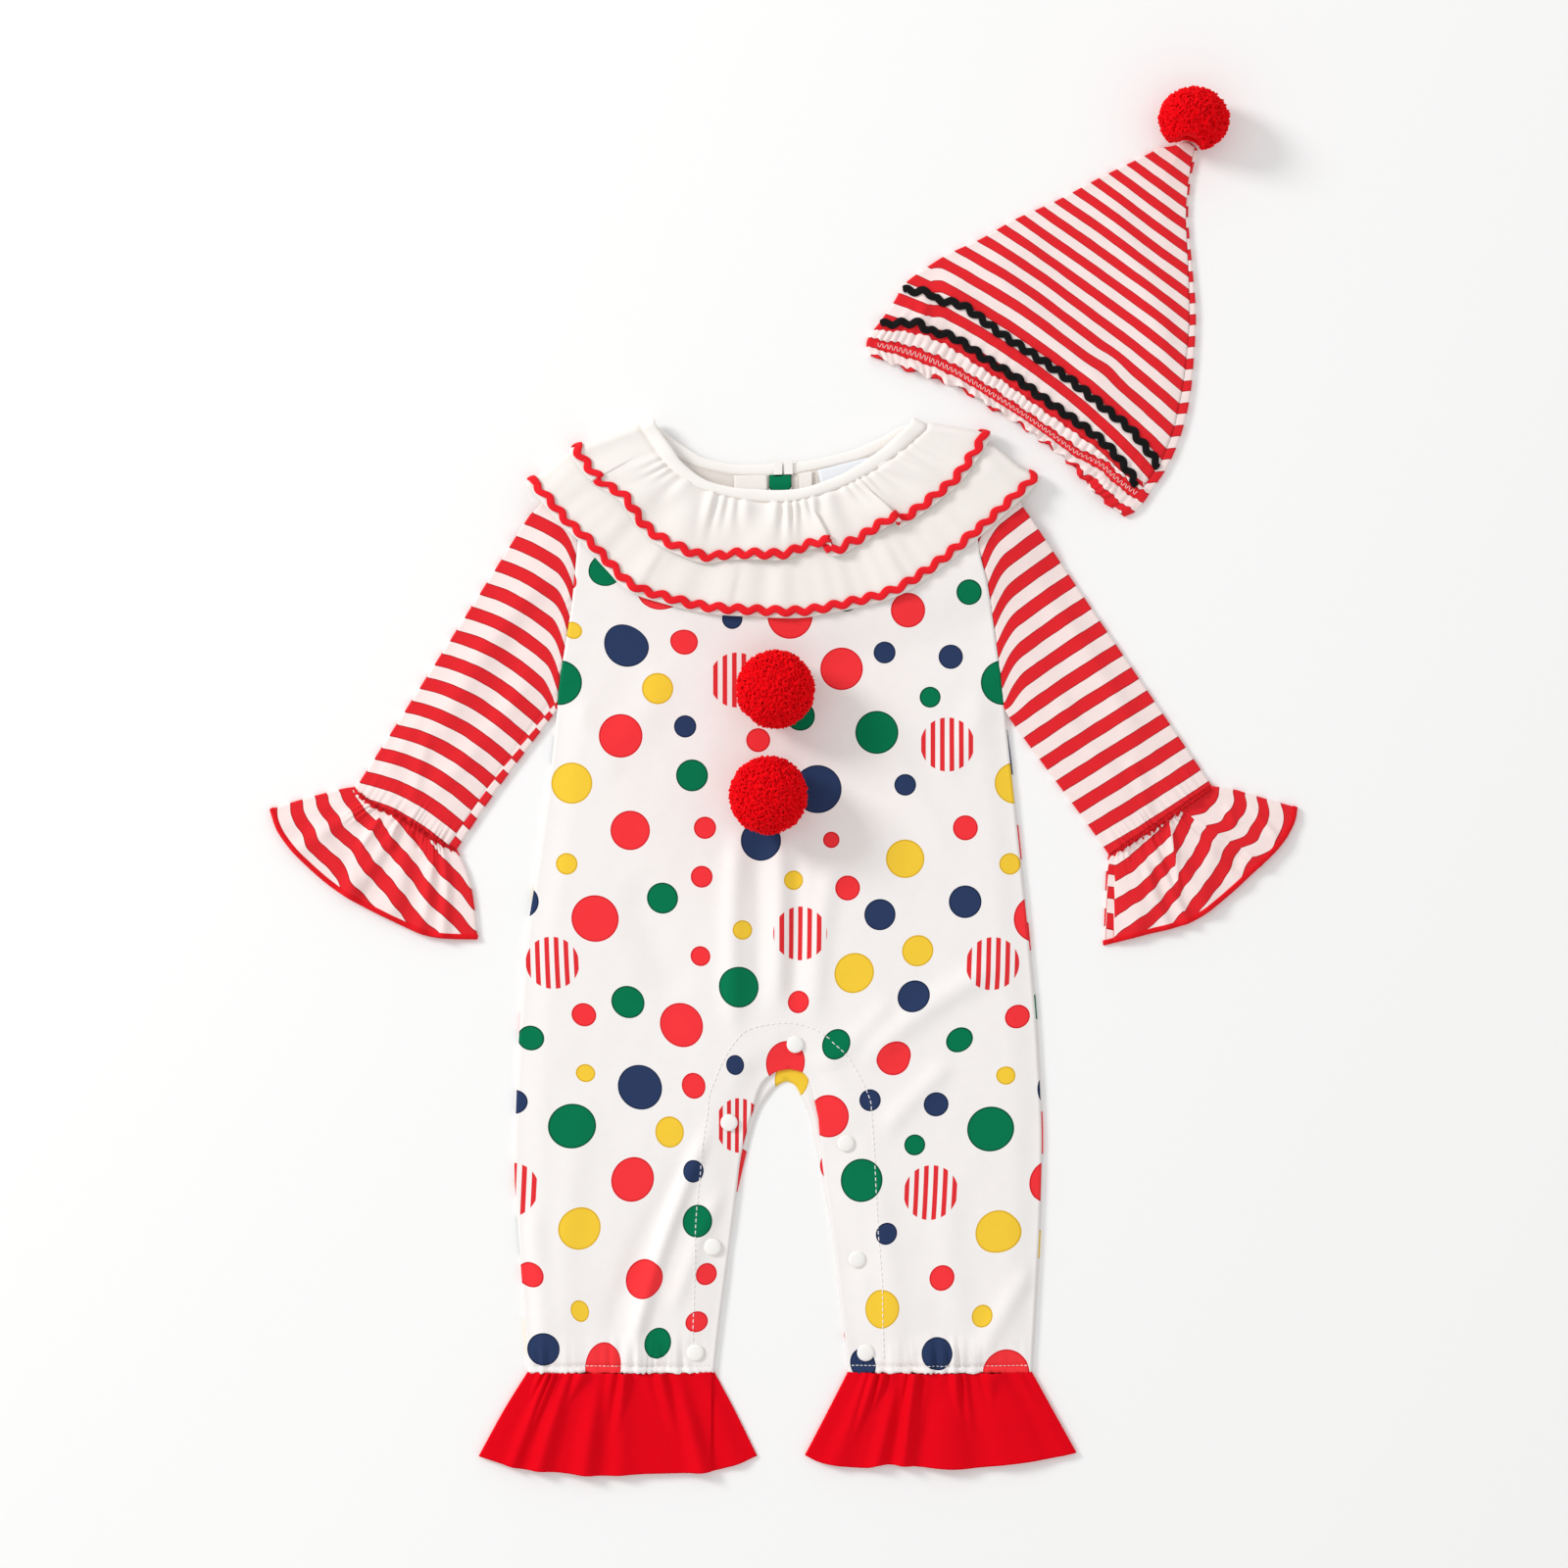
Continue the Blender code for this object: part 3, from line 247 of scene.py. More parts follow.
# Creases: both ends, how far the middle bows to the left of that line, half width and height
BODY_CREASES = [
    (-27, -34, -29, -137, 2, 6.0, 2.8), (-3, -28, -4, -125, -1, 5.0, 2.7), (-15, -42, -15, -128, 0, 4.5, -1.4),
    (9, -38, 6, -126, 0, 4.5, -1.4), (28, -46, 18, -131, 2, 6.5, 2.2), (120, -108, 51, -157, 3, 7.0, 2.6),
    (94, -165, 60, -200, 1, 6.0, 1.8), (-47, -208, -88, -328, 3, 4.2, 3.4), (-38, -240, -63, -302, 1, 4.5, 1.6),
    (-60, -225, -100, -318, 4, 7.0, -1.4), (142, -285, 114, -333, 1, 6.0, 2.0), (-85, -60, -63, -120, 2, 12, -1.2),
    (-146, -250, -140, -330, 0, 6.0, 1.5), (62, 20, 96, -34, 2, 9.0, 0.9), (-70, 66, -98, 20, -2, 10, 0.9),
    (52, -232, 64, -322, -2, 8.0, 1.2), (96, -232, 104, -322, 3, 9.0, 1.0), (-118, -196, -128, -318, 3, 9.0, 1.1),
    (-60, -140, -20, -165, 2, 6.0, 1.3), (60, -128, 22, -163, -2, 6.0, 1.4), (0, 20, -8, -30, 0, 7.0, 0.8),
    (30, 60, 54, 30, 1, 8.0, 0.7), (-120, 44, -96, 8, 2, 8.0, 0.9), (116, 48, 92, 6, -2, 8.0, 1.0)]
SLEEVE_CREASES = [
    (-140, 120, -200, 30, 4, 7.0, 1.5), (-150, 60, -205, -5, -3, 6.0, 1.3), (-214, 40, -232, 5, 1, 5.0, 1.5),
    (-150, 90, -176, 20, 2, 8.0, -0.7), (-206, 30, -216, -14, 1, 4.0, 1.2), (146, 118, 205, 25, -4, 7.0, 1.5),
    (160, 50, 205, -10, 3, 6.0, 1.3), (224, 30, 238, 8, -1, 5.0, 1.3), (150, 92, 178, 22, -2, 8.0, -0.7),
    (202, 14, 212, -16, -1, 4.0, 1.2)]
CUFF_CREASES = [
    (-235.3, -20, -246, -36, 0, 2.2, 1.8), (-234, -24, -254, -66, 3, 4.5, 1.5),
    (-215.5, -27.5, -212, -37, 0, 1.8, -1.8), (-199, -38.5, -197, -54, 0, 2.2, 1.8),
    (-262, -9, -247, -23, 0, 2.6, 1.5), (-272, -20, -249, -60, 2, 5, 1.3), (-206, -46, -204, -82, 2, 4.5, 1.5),
    (-221, -42, -228, -76, -2, 5, 1.3), (-226, -24, -229, -38, 0, 2, 1.6), (224.1, -24, 229.7, -62, 0, 2.0, 2.2),
    (238.5, -21, 278.6, -47.7, 0, 2.4, 2.0), (269, -9, 287, -32, 0, 2.2, 1.8), (252, -27, 246, -64, 2, 5, 1.3),
    (204, -46, 206, -88, -2, 5, 1.4), (214, -37, 214, -80, 1, 4, 1.0), (258, -12, 262, -24, 0, 2.2, 1.4),
    (262, -50, 266, -38, 0, 3, -1.0)]
HAT_CREASES = [(120, 300, 200, 222, 4, 9.0, 2.2), (92, 292, 150, 244, 3, 7.0, 1.8), (190, 335, 222, 250, -3, 9, 1.4),
               (150, 318, 196, 262, 2, 8.0, -0.9), (80, 290, 82, 258, 0, 3.5, 1.4), (176, 236, 204, 196, 2, 6, 1.2)]


def creases(x, y, table):
    """Sum over the table of height * fade along the line * exp(-(distance off it / half width)^2)."""
    height = np.zeros(np.shape(x))
    for ax, ay, bx, by, bow, width, rise in table:
        ux, uy = bx - ax, by - ay
        t = ((x - ax) * ux + (y - ay) * uy) / (ux * ux + uy * uy)
        off = ((x - ax) * uy - (y - ay) * ux) / math.hypot(ux, uy) - bow * (1 - (2 * t - 1) ** 2)
        height += rise * smooth((t + 0.15) / 0.3) * smooth((1.15 - t) / 0.3) * bell(off / width)
    return height


def ripple(x, y, size, seed):
    """Soft unevenness about size across: the mean of eight sine waves in seeded directions, from -1 to 1."""
    draw = np.random.default_rng(seed)
    height = np.zeros(np.shape(x))
    for _ in range(8):
        turn, phase, stretch = draw.uniform(0, 2 * np.pi), draw.uniform(0, 2 * np.pi), draw.uniform(0.7, 1.6)
        height += np.sin(2 * np.pi * (x * np.cos(turn) + y * np.sin(turn)) / (size * stretch) + phase)
    return height / 8


SEAMS = [curve(path, steps(count)) for outlines, count in ((SHOULDER, 2), (SIDE, 14), (INSEAM, 8), (CROTCH, 6))
         for path in outlines.values()]
ARMHOLES = {side: curve(path, steps(12)) for side, path in ARMHOLE.items()}


def past_sleeve(x, y):
    """0 over the garment, rising to 1 beyond the sleeves' upper edges, where the collar overhangs them."""
    left = (x + 112) * -0.716 + (y - 191) * 0.698
    right = (x - 107) * 0.69 + (y - 192) * 0.724
    return smooth((np.where(x < 0, left, right) - 1) / 12)


def under(x, y):
    """Middle of the under layer: on the table, and over the collar's back half near the neck."""
    q = np.hypot(x / 150, np.minimum(y - 200, 0) / 97)
    return CLOTH / 2 + UNDER_COLLAR * (1 - smooth((q - 1.03) / 0.35))


def front_base(x, y):
    """Middle of the front without its creases: under layer + one layer + air away from the closed seams."""
    hem = 1 - 0.6 * smooth((-300 - y) / 42)
    return under(x, y) + LAYER + PUFF * hem * smooth(distance(x, y, SEAMS) / PUFF_REACH) * (1 - past_sleeve(x, y))


def front_height(x, y):
    """Middle of the front: creases, a general unevenness, puckers at the armholes, gathers and a puffy hem at the
    ankles, and a dimple round each snap."""
    calm, dimple = smooth(distance(x, y, SEAMS) / 8), 0
    for sx, sy in SNAPS:
        near = bell(np.hypot(x - sx, y - sy) / 8)
        calm, dimple = calm * (1 - near), dimple - 1.1 * near
    pucker = bell(distance(x, y, ARMHOLES.values()) / 9) * wave(y / 17 + 0.3 * np.sin(y / 11))
    gather = 2.2 * wave(x / 9.3 + 0.6 * np.sin(x / 8)) + 1.7 * wave(x / 4.1 + 0.8 * np.sin(x / 6))
    gather = smooth((y + 317) / -18) * gather * (0.6 + 0.4 * np.sin(x / 13 + 1))
    hem = 0.8 * smooth((HEM_LINE - y) / 2) * wave(x / 5.1 + 0.8 * np.sin(x / 7)) - 1.3 * bell((y + 338.6) / 0.9)
    fine = 0.45 * ripple(x, y, 62, 3) + 0.22 * ripple(x, y, 23, 4)
    return front_base(x, y) + calm * (creases(x, y, BODY_CREASES) + fine + 0.5 * pucker + gather + hem) + dimple


def table_top(x, y):
    return np.full(np.shape(x), CLOTH / 2)


def puffed(edges, floor, table=(), air=PUFF):
    """Height of a flat tube's upper layer: a fold's width at its edges, and air and creases between them."""
    lines = [curve(edge, steps(12)) for edge in edges]

    def height(x, y):
        inner = smooth(distance(x, y, lines) / PUFF_REACH)
        extra = creases(x, y, table) + 0.3 * ripple(x, y, 40, 7)
        return floor(x, y) + 2 * BEND + inner * (air + LAYER - 2 * BEND + extra)

    return height


print("front over the chest:", round(float(front_height(0.0, 0.0)), 2), "mm high")

# %% [markdown]
# ## Colours and materials
# The romper is printed cotton jersey: matt, with a soft nap, so its roughness is high and a little sheen sits
# on top. A printed or woven pattern belongs to the cloth and not to the table, so it is read from a UV map
# that is laid in millimetres of cloth. The knit itself is a fifth of a millimetre across and too fine to
# show, so its bump is drawn a millimetre wide.

# %% Colours and a node
def linear(colour):
    """sRGB hex to linear: c/12.92 at the foot, ((c + 0.055)/1.055)^2.4 above it."""
    parts = [int(colour[i:i + 2], 16) / 255 for i in (0, 2, 4)]
    return [c / 12.92 if c <= 0.04045 else ((c + 0.055) / 1.055) ** 2.4 for c in parts] + [1]


def node(tree, kind, inputs=(), out=0, **settings):
    """Adds a shader node with its settings, and gives its output. inputs are values or other nodes' outputs,
    in the order of its sockets, or by their names or numbers."""
    made = tree.nodes.new("ShaderNode" + kind)
    for key, value in settings.items():
        setattr(made, key, value)
    for socket, value in inputs.items() if isinstance(inputs, dict) else enumerate(inputs):
        if isinstance(value, bpy.types.NodeSocket):
            tree.links.new(value, made.inputs[socket])
        else:
            made.inputs[socket].default_value = value
    return made.outputs[out]


SLOT_OF = {}


def finished(name, slot, colour, roughness=0.85, sheen=0.04, knit=0.9, depth=0.12, grain=0.03, shine=0.08):
    """A material named for its real finish, for a slot of the part. colour is a hex, or a function (tree,
    place) that draws it. Here come the rest: a bump a knit's stitch wide, sheen, and dye that is a little
    uneven over patches of 6 mm. Without depth or grain the surface is smooth or of one colour."""
    made = bpy.data.materials.new(name)
    SLOT_OF[name] = slot
    made.use_nodes = True
    tree = made.node_tree
    shader = tree.nodes["Principled BSDF"]
    for socket, value in (("Roughness", roughness), ("Sheen Weight", sheen), ("Sheen Roughness", 0.5),
                          ("Specular IOR Level", shine)):
        shader.inputs[socket].default_value = value
    place = node(tree, "TexCoord", out="Object")
    if grain:
        cloudy = node(tree, "TexNoise", {"Vector": place, "Scale": 170.0, "Detail": 3.0})
        spread = node(tree, "Math", [cloudy, 2 * grain, 1 - grain], operation="MULTIPLY_ADD")
        drawn = colour(tree, place) if callable(colour) else linear(colour)[:3]
        dyed = node(tree, "VectorMath", {0: drawn, "Scale": spread}, operation="SCALE")
        tree.links.new(dyed, shader.inputs["Base Color"])
    else:
        shader.inputs["Base Color"].default_value = linear(colour)
    if depth:
        fine = node(tree, "TexNoise", {"Vector": place, "Scale": 1000 / knit, "Detail": 2.0})
        bump = node(tree, "Bump", {"Height": fine, "Strength": depth, "Distance": 0.0004})
        tree.links.new(bump, shader.inputs["Normal"])
    return made


print("brick red in linear light:", [round(part, 3) for part in linear("E2262E")])

# %% [markdown]
# ## Stripes
# The striped jersey is knitted in red and white rows of 8 mm each. Pulled and folded, the rows bow a little,
# and the number of rows passed from a piece's middle is then a polynomial in the place on the cloth. Storing
# that number as the UV map's first coordinate lets one material stripe every piece: a point is red within a
# quarter of a whole number. A thin darker line follows each change, where the yarns overlap.

# %% Striped jersey
STRIPE_RED, STRIPE_WHITE, STRIPE_EDGE = "E2262E", "F8E5E2", "9A0F17"


def rows_of_stripes(tree, place):
    """Red within a quarter of a whole row number, and a dark line just inside each red row's edges."""
    row = node(tree, "SeparateXYZ", [node(tree, "UVMap", uv_map="cloth")])
    wander = node(tree, "TexNoise", {"Vector": place, "Scale": 90.0, "Detail": 1.0})
    count = node(tree, "Math", [wander, 0.05, row], operation="MULTIPLY_ADD")
    fraction = node(tree, "Math", [count], operation="FRACT")
    off = node(tree, "Math", [node(tree, "Math", [fraction, 0.5], operation="SUBTRACT")], operation="ABSOLUTE")
    red = node(tree, "Math", [off, 0.25], operation="GREATER_THAN")
    beside = node(tree, "Math", [off, 0.265, 0.017], operation="COMPARE")
    faint = node(tree, "Math", [beside, 0.75], operation="MULTIPLY")
    cloth = node(tree, "Mix", {0: red, 6: linear(STRIPE_WHITE), 7: linear(STRIPE_RED)}, 2, data_type="RGBA")
    return node(tree, "Mix", {0: faint, 6: cloth, 7: linear(STRIPE_EDGE)}, 2, data_type="RGBA")


# Rows of stripes on a piece: its middle, the polynomial's factors and the row at the middle
ROWS = {
    "sleeve_left": ((-169.18, 51.41), (-2.0088, 3.0122, -0.6534, -0.6131, -0.1913, 0.141, 0.315, 0.149, 0.01),
                    0.3934),
    "sleeve_right": ((175.2, 45.24), (1.9182, 2.9598, -0.12, 0.002, 0.0229, 0.0599, 0.084, -0.0401, 0.0156),
                     0.0296),
    "hat": ((179.92, 280.56), (-3.1518, 4.2477, -0.1076, 0.0737, -0.1808, 0.1118, -0.056, -0.024, -0.0808),
            0.4007),
    "cuff_left_1": ((-264.48, -26.03), (-2.899, 2.029, 0.372, 1.763, 0.579), 0.2435),
    "cuff_left_2": ((-222.68, -47.75), (-2.711, 2.209, -0.195, 0.707, -0.094), 0.148),
    "cuff_right_1": ((213.64, -62.13), (2.525, 2.782, 0.822, 0.033, 0.036), 0.2475),
    "cuff_right_2": ((240.64, -51.68), (3.068, 1.966, -0.005, -0.316, 0.283), 0.3032),
    "cuff_right_3": ((267.61, -21.23), (3.067, 2.038, 2.45, -4.07, 4.468), 0.348),
    "cuff_right_back": ((190.2, -70.3), (-0.599, 3.457, 0, 0.467, -1.597), 0.436)}
ROW_UNIT = 57.0  # millimetres in the polynomial's unit


def rows_at(piece, x, y):
    """p0 u + p1 v + p2 u^2 + p3 uv + p4 v^2 + p5 u^3 + p6 u^2 v + p7 u v^2 + p8 v^3, plus the middle's row."""
    (cx, cy), p, start = ROWS[piece]
    u, v = (x - cx) / ROW_UNIT, (cy - y) / ROW_UNIT
    terms = (u, v, u * u, u * v, v * v, u**3, u * u * v, u * v * v, v**3)
    return sum(a * b for a, b in zip(p, terms)) + start


# The folds that divide a cuff's stripes: both ends, over how many mm the rows turn at the start and end, and
# how many whole rows the next facet's count is ahead
CUFF_FOLDS = {"left": [((-237.3, -22.2), (-262, -64), 0.6, 14, 1)],
              "right": [((225, -28), (231, -66), 0.5, 1.5, -1), ((238, -20), (281, -47.5), 0.5, 1.0, -1)]}
CORNER_ROWS = [-9, 1.23, 2.62], [-9, 1.23, 2.2]  # the right cuff's corner stays within the last red row


def cuff_rows(side, x, y):
    """The first facet's rows, and past each fold the next one's, less whole rows, which make no difference to
    the eye."""
    rows = rows_at(f"cuff_{side}_1", x, y)
    for number, ((ax, ay), (bx, by), sharp, soft, ahead) in enumerate(CUFF_FOLDS[side], 2):
        long = math.hypot(bx - ax, by - ay)
        down = ((x - ax) * (bx - ax) + (y - ay) * (by - ay)) / long**2
        off = ((bx - ax) * (y - ay) - (by - ay) * (x - ax)) / long
        past = smooth(0.5 + off / (sharp + (soft - sharp) * np.clip(down, 0, 1)))
        following = rows_at(f"cuff_{side}_{number}", x, y)
        if number == 3:
            following = np.interp(following, *CORNER_ROWS)
        rows = rows + past * (following - ahead - rows)
    return rows


print("rows across a sleeve:", round(float(rows_at("sleeve_left", -190.0, 0.0)), 2))

# %% [markdown]
# ## Dots
# The print is a repeat of 258 by 260 mm with some fifty dots in four colours, and a few that hold upright
# stripes. A chart gives each dot's place and radius in millimetres. The material wraps the cloth's
# coordinates into one repeat, finds the least distance to the edge of a dot of each colour, and inks the
# cloth where it is below zero. A picture of the print would render faster, but this stays sharp near by.

# %% The dot print
REPEAT = (258.0, 260.5)
PRINT_START = (-145.0, -150.0)  # lower left corner of the repeat in the chart
INKS = {"red": "F7373D", "green": "00764E", "navy": "2A3B60", "yellow": "F7CD3C"}
INK_RIMS = {"red": "D61F27", "green": "004F33", "navy": "1B2848", "yellow": "DDB02A"}  # ink dries darker at a rim
DOTS = {
    "red": [(72, 101, 10), (3.5, 97.5, 13.1), (-57.5, 83, 7.7), (33.5, 67, 12.4), (-95, 28, 12.7), (-15, 25.5, 7),
            (-89.5, -27, 11.5), (-46, -25.5, 6.5), (105.5, -25.5, 7.3), (27.5, -32.5, 4.8), (-48, -54, 6.4),
            (37, -60.5, 7.3), (-110.5, -78.5, 13.7), (-49.5, -100.5, 5.9), (9.5, -127, 6.6), (-120, -135.5, 7),
            (-63, -141.5, 13.2)],
    "green": [(107.5, 111.5, 7.4), (-130.5, 59, 13), (85, 50.5, 6.1), (9.5, 39.5, 8.5), (54, 30, 12.5),
              (-53.5, 5, 9.3), (-71, -66.5, 9.1), (-27, -118.5, 12), (-94, -128, 9.7), (35.5, -151.5, 8.9)],
    "navy": [(-30, 96, 5.9), (-91, 81.5, 13.3), (58.5, 76.5, 6.4), (97, 74, 7.1), (-57.5, 33.5, 6.5),
             (19.5, -3, 14), (70.5, -0.5, 6.3), (-13.5, -33, 11.7), (105.5, -68.5, 9.5), (56, -76, 9.1),
             (78, -123.5, 9.3)],
    "yellow": [(-122, 90, 5.4), (-73.5, 55.5, 9.1), (-123.5, 0.5, 12), (70.5, -43.5, 11.2),
               (-126.5, -46.5, 6.3), (5.5, -56, 5.7), (-24.5, -85, 5.7), (78.5, -97, 9.1), (42, -110, 11.7)]}
STRIPED_DOTS = [(-27.5, 60.5, 16), (95, 23, 15.7), (9.5, -87, 15.7), (-136, -104.5, 15.4)]
DOT_STRIPE = 5.5  # millimetres from one stripe in a dot to the next
PRINT_WHITE, BAR_RED = "F6F2F0", "E32F35"  # the cloth between the dots, and the stripes in them


def off_dots(tree, where, dots):
    """How far a point is outside the nearest of the dots: the least of (distance - radius), below 0 inside.
    Each dot is moved into the repeat, and copied across the edges that it crosses."""
    least = 1000.0
    for x, y, radius in dots:
        for dx in (-REPEAT[0], 0, REPEAT[0]):
            for dy in (-REPEAT[1], 0, REPEAT[1]):
                cx, cy = (x - PRINT_START[0]) % REPEAT[0] + dx, (y - PRINT_START[1]) % REPEAT[1] + dy
                if -radius < cx < REPEAT[0] + radius and -radius < cy < REPEAT[1] + radius:
                    far = node(tree, "VectorMath", [where, (cx, cy, 0)], "Value", operation="DISTANCE")
                    off = node(tree, "Math", [far, radius], operation="SUBTRACT")
                    least = node(tree, "Math", [least, off], operation="MINIMUM")
    return least


def dots_and_bars(tree, place):
    """The repeat's dots in their inks on white, and upright bars where a striped dot is."""
    laid = node(tree, "VectorMath", {0: node(tree, "UVMap", uv_map="cloth"), "Scale": 1 / MM}, operation="SCALE")
    moved = node(tree, "VectorMath", [laid, (*PRINT_START, 0)], operation="SUBTRACT")
    where = node(tree, "VectorMath", [moved, (*REPEAT, 1), (0, 0, 0)], operation="WRAP")
    cloth = linear(PRINT_WHITE)
    for ink, dots in DOTS.items():
        off = off_dots(tree, where, dots)
        inked = node(tree, "Math", [off, 0.0], operation="LESS_THAN")
        rim = node(tree, "Math", [off, -0.45, 0.4], operation="COMPARE")
        colour = node(tree, "Mix", {0: rim, 6: linear(INKS[ink]), 7: linear(INK_RIMS[ink])}, 2, data_type="RGBA")
        cloth = node(tree, "Mix", {0: inked, 6: cloth, 7: colour}, 2, data_type="RGBA")
    turn = node(tree, "Math", [node(tree, "SeparateXYZ", [laid]), DOT_STRIPE], operation="DIVIDE")
    bars = node(tree, "Math", [node(tree, "Math", [turn], operation="FRACT"), 0.5], operation="GREATER_THAN")
    inside = node(tree, "Math", [off_dots(tree, where, STRIPED_DOTS), 0.0], operation="LESS_THAN")
    barred = node(tree, "Math", [bars, inside], operation="MULTIPLY")
    return node(tree, "Mix", {0: barred, 6: cloth, 7: linear(BAR_RED)}, 2, data_type="RGBA")


# The cloth is pulled a little off the grain in places: (x, y, reach, shift in x, shift in y)
PULLS = [(-110, 124, 22, -10, -9), (-76, 111, 20, -9, -6), (-95, -200, 75, 8.5, 3), (-60, -330, 34, -5, 2),
         (-140, -330, 40, 13, 0), (45, -200, 60, -8, 0), (95, -220, 70, -10, 0), (85, -320, 60, -16, -2),
         (124, -338, 30, -20, -5), (-81, -288, 17, 10.5, -2.5), (140, -200, 40, -4, 2)]


def print_at(x, y):
    """Where on the printed cloth a point lies: its place less the nearby pulls, weighted by exp(-(d/reach)^2)."""
    shift, total = 0, 0
    for px, py, reach, *pull in PULLS:
        weight = bell(np.hypot(x - px, y - py) / reach)
        shift, total = shift + weight[..., None] * pull, total + weight
    return (np.stack([x, y], axis=-1) - shift / np.maximum(total, 1)[..., None]) * MM


print("dots in a repeat:", sum(map(len, DOTS.values())) + len(STRIPED_DOTS))

# %% [markdown]
# ## The other finishes
# Each is named for the real thing. Voile is thinner and smoother than jersey, ric rac is woven flat and a
# little shiny, and the snap caps are moulded from acetal. The yarn of the pompoms is brushed, so it looks soft
# and has hardly any highlight.

# %% Materials
# Matt white with inks that sit in the cloth, and inside it the unprinted side, greyer with painted shade
DOTTED = finished("printed cotton jersey", "cloth_print", dots_and_bars, grain=0.02)
WRONG_SIDE_SHADED = finished("printed cotton jersey, wrong side, painted shade", "cloth_print", "E3DBD4")
# Bright rows with a slightly uneven dye, so that wide stripes don't look painted
STRIPED = finished("striped cotton jersey, knitted", "cloth_stripe", rows_of_stripes, grain=0.04)
# Smooth and warm white: next to the print it reads as a finer cloth
VOILE = finished("ivory cotton voile", "cloth_ivory", "F3EEE9", knit=0.7, depth=0.1, grain=0.015)
# Lighter and coarser than voile, so that the neck's edge stands out
BINDING = finished("ivory cotton binding", "cloth_binding", "F8F4EF", knit=0.8, depth=0.2, grain=0.02)
# Deep even red without sheen, which would turn its folds pink
RED_CLOTH = finished("dyed red cotton jersey", "cloth_red", "E40016", sheen=0.0, grain=0.05)
# A little glossier than cloth, with a coarse weave that breaks up the highlight
RED_BRAID = finished("woven red ric rac", "braid_red", "EC1F29", roughness=0.7, knit=0.7, depth=0.3, grain=0.05)
BLACK_BRAID = finished("woven black ric rac", "braid_black", "151415", roughness=0.8, knit=0.7, depth=0.3, grain=0.2)
# Very rough and cloudy, so that a ball looks soft and its curls don't glitter
YARN = finished("brushed red acrylic yarn", "yarn_red", "F2000F", 0.95, 0.03, knit=0.5, depth=0.2, grain=0.12)
# Smooth spun thread catches small lights, which picks the stitches out of the cloth
THREAD = finished("spun white polyester thread", "cloth_ivory", "F4F1EE", roughness=0.6, sheen=0.1, grain=0.02)
RED_THREAD = finished("red overlock thread", "cloth_red", "E1141F", roughness=0.6, knit=0.6, depth=0.5, grain=0.1)
# Darker and blotchy red, painted shade for cloth crumpled too finely to see each fold
RUCHING_SHADED = finished("drawn-up seam, red, painted shade", "cloth_red", "C8141C", roughness=0.8, knit=0.6, depth=0.5, grain=0.3)
# Cool white with a soft gloss, so that the tape differs from the warm cotton round it
TAPE = finished("white satin tape", "label_tape", "EEF1F6", 0.5, 0.1, knit=0.4, depth=0.05, grain=0.01, shine=0.3)
# One even colour with a clear highlight, which makes the caps read as hard
RESIN = finished("moulded white acetal", "snap_plastic", "F8F6F3", 0.3, 0.0, depth=0.0, grain=0.0, shine=0.5)
print("materials:", len(SLOT_OF))

# %% [markdown]
# ## Putting a surface into Blender
# Every piece of cloth is a grid of points, row by row, worked out as one numpy array. The same few lines turn
# any such grid into a mesh: neighbours in the grid make a face, a closed grid joins its last column to its
# first, and the cloth's own coordinates go in as a UV map, corner by corner, so that they may jump at a seam.

# %% From a grid to a piece
def piece(name, points, faces, material, stands_for="", uv=None, wall=None, slot=None):
    """A named piece from points in millimetres, riding on the costume, in place of the solids named."""
    mesh = bpy.data.meshes.new(name)
    mesh.from_pydata((np.asarray(points) * MM).tolist(), [], faces)
    if uv is not None:
        mesh.uv_layers.new(name="cloth").data.foreach_set("uv", np.asarray(uv, np.float32).ravel())
    mesh.shade_smooth()
    mesh.materials.append(material)
    made = bpy.data.objects.new(name, mesh)
    bpy.context.scene.collection.objects.link(made)
    if wall:
        shell = made.modifiers.new("wall", "SOLIDIFY")
        shell.thickness, shell.offset = wall * MM, 0
    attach(made, "root")
    if stands_for:
        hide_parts(*stands_for.split())
    slot or SLOT_OF[material.name]
    return made


def quads(number):
    """Faces of a grid of point numbers, with their fronts up where rows go down and columns to the right."""
    return np.stack([number[:-1, :-1], number[1:, :-1], number[1:, 1:], number[:-1, 1:]], axis=-1).reshape(-1, 4)


def cloth(name, grid, material, stands_for="", uv=None, closed=False, wall=WALL, slot=None):
    """A piece of cloth from a grid (rows, columns, xyz), whose last column repeats the first if it is closed."""
    rows, columns = grid.shape[:2]
    number = full = np.arange(rows * columns).reshape(rows, columns)
    if closed:
        number = np.arange(rows * (columns - 1)).reshape(rows, columns - 1)
        number = np.column_stack([number, number[:, 0]])
        grid = grid[:, :-1]
    corners = None if uv is None else uv.reshape(-1, 2)[quads(full)]
    return piece(name, grid.reshape(-1, 3), quads(number).tolist(), material, stands_for, corners, wall, slot)


def striped(name, grid, rows, across, stands_for, closed=False):
    return cloth(name, grid, STRIPED, stands_for, np.stack([rows, across], axis=-1), closed)


def tubes(name, rings, material, stands_for=""):
    """Many small closed tubes in one piece, from rings (tube, ring, point, xyz). Both ends get a cap."""
    number = np.arange(rings[..., 0].size).reshape(rings.shape[:3])
    wrapped = np.concatenate([number, number[:, :, :1]], axis=2)
    a, b = wrapped[:, :-1], wrapped[:, 1:]
    walls = np.stack([a[..., :-1], a[..., 1:], b[..., 1:], b[..., :-1]], axis=-1).reshape(-1, 4)
    caps = np.concatenate([number[:, 0, ::-1], number[:, -1]])
    return piece(name, rings.reshape(-1, 3), walls.tolist() + caps.tolist(), material, stands_for)


def faces_of(*made):
    return [len(one.data.polygons) for one in made]


print("a grid of 3 by 3 points has faces:", len(quads(np.arange(9).reshape(3, 3))))

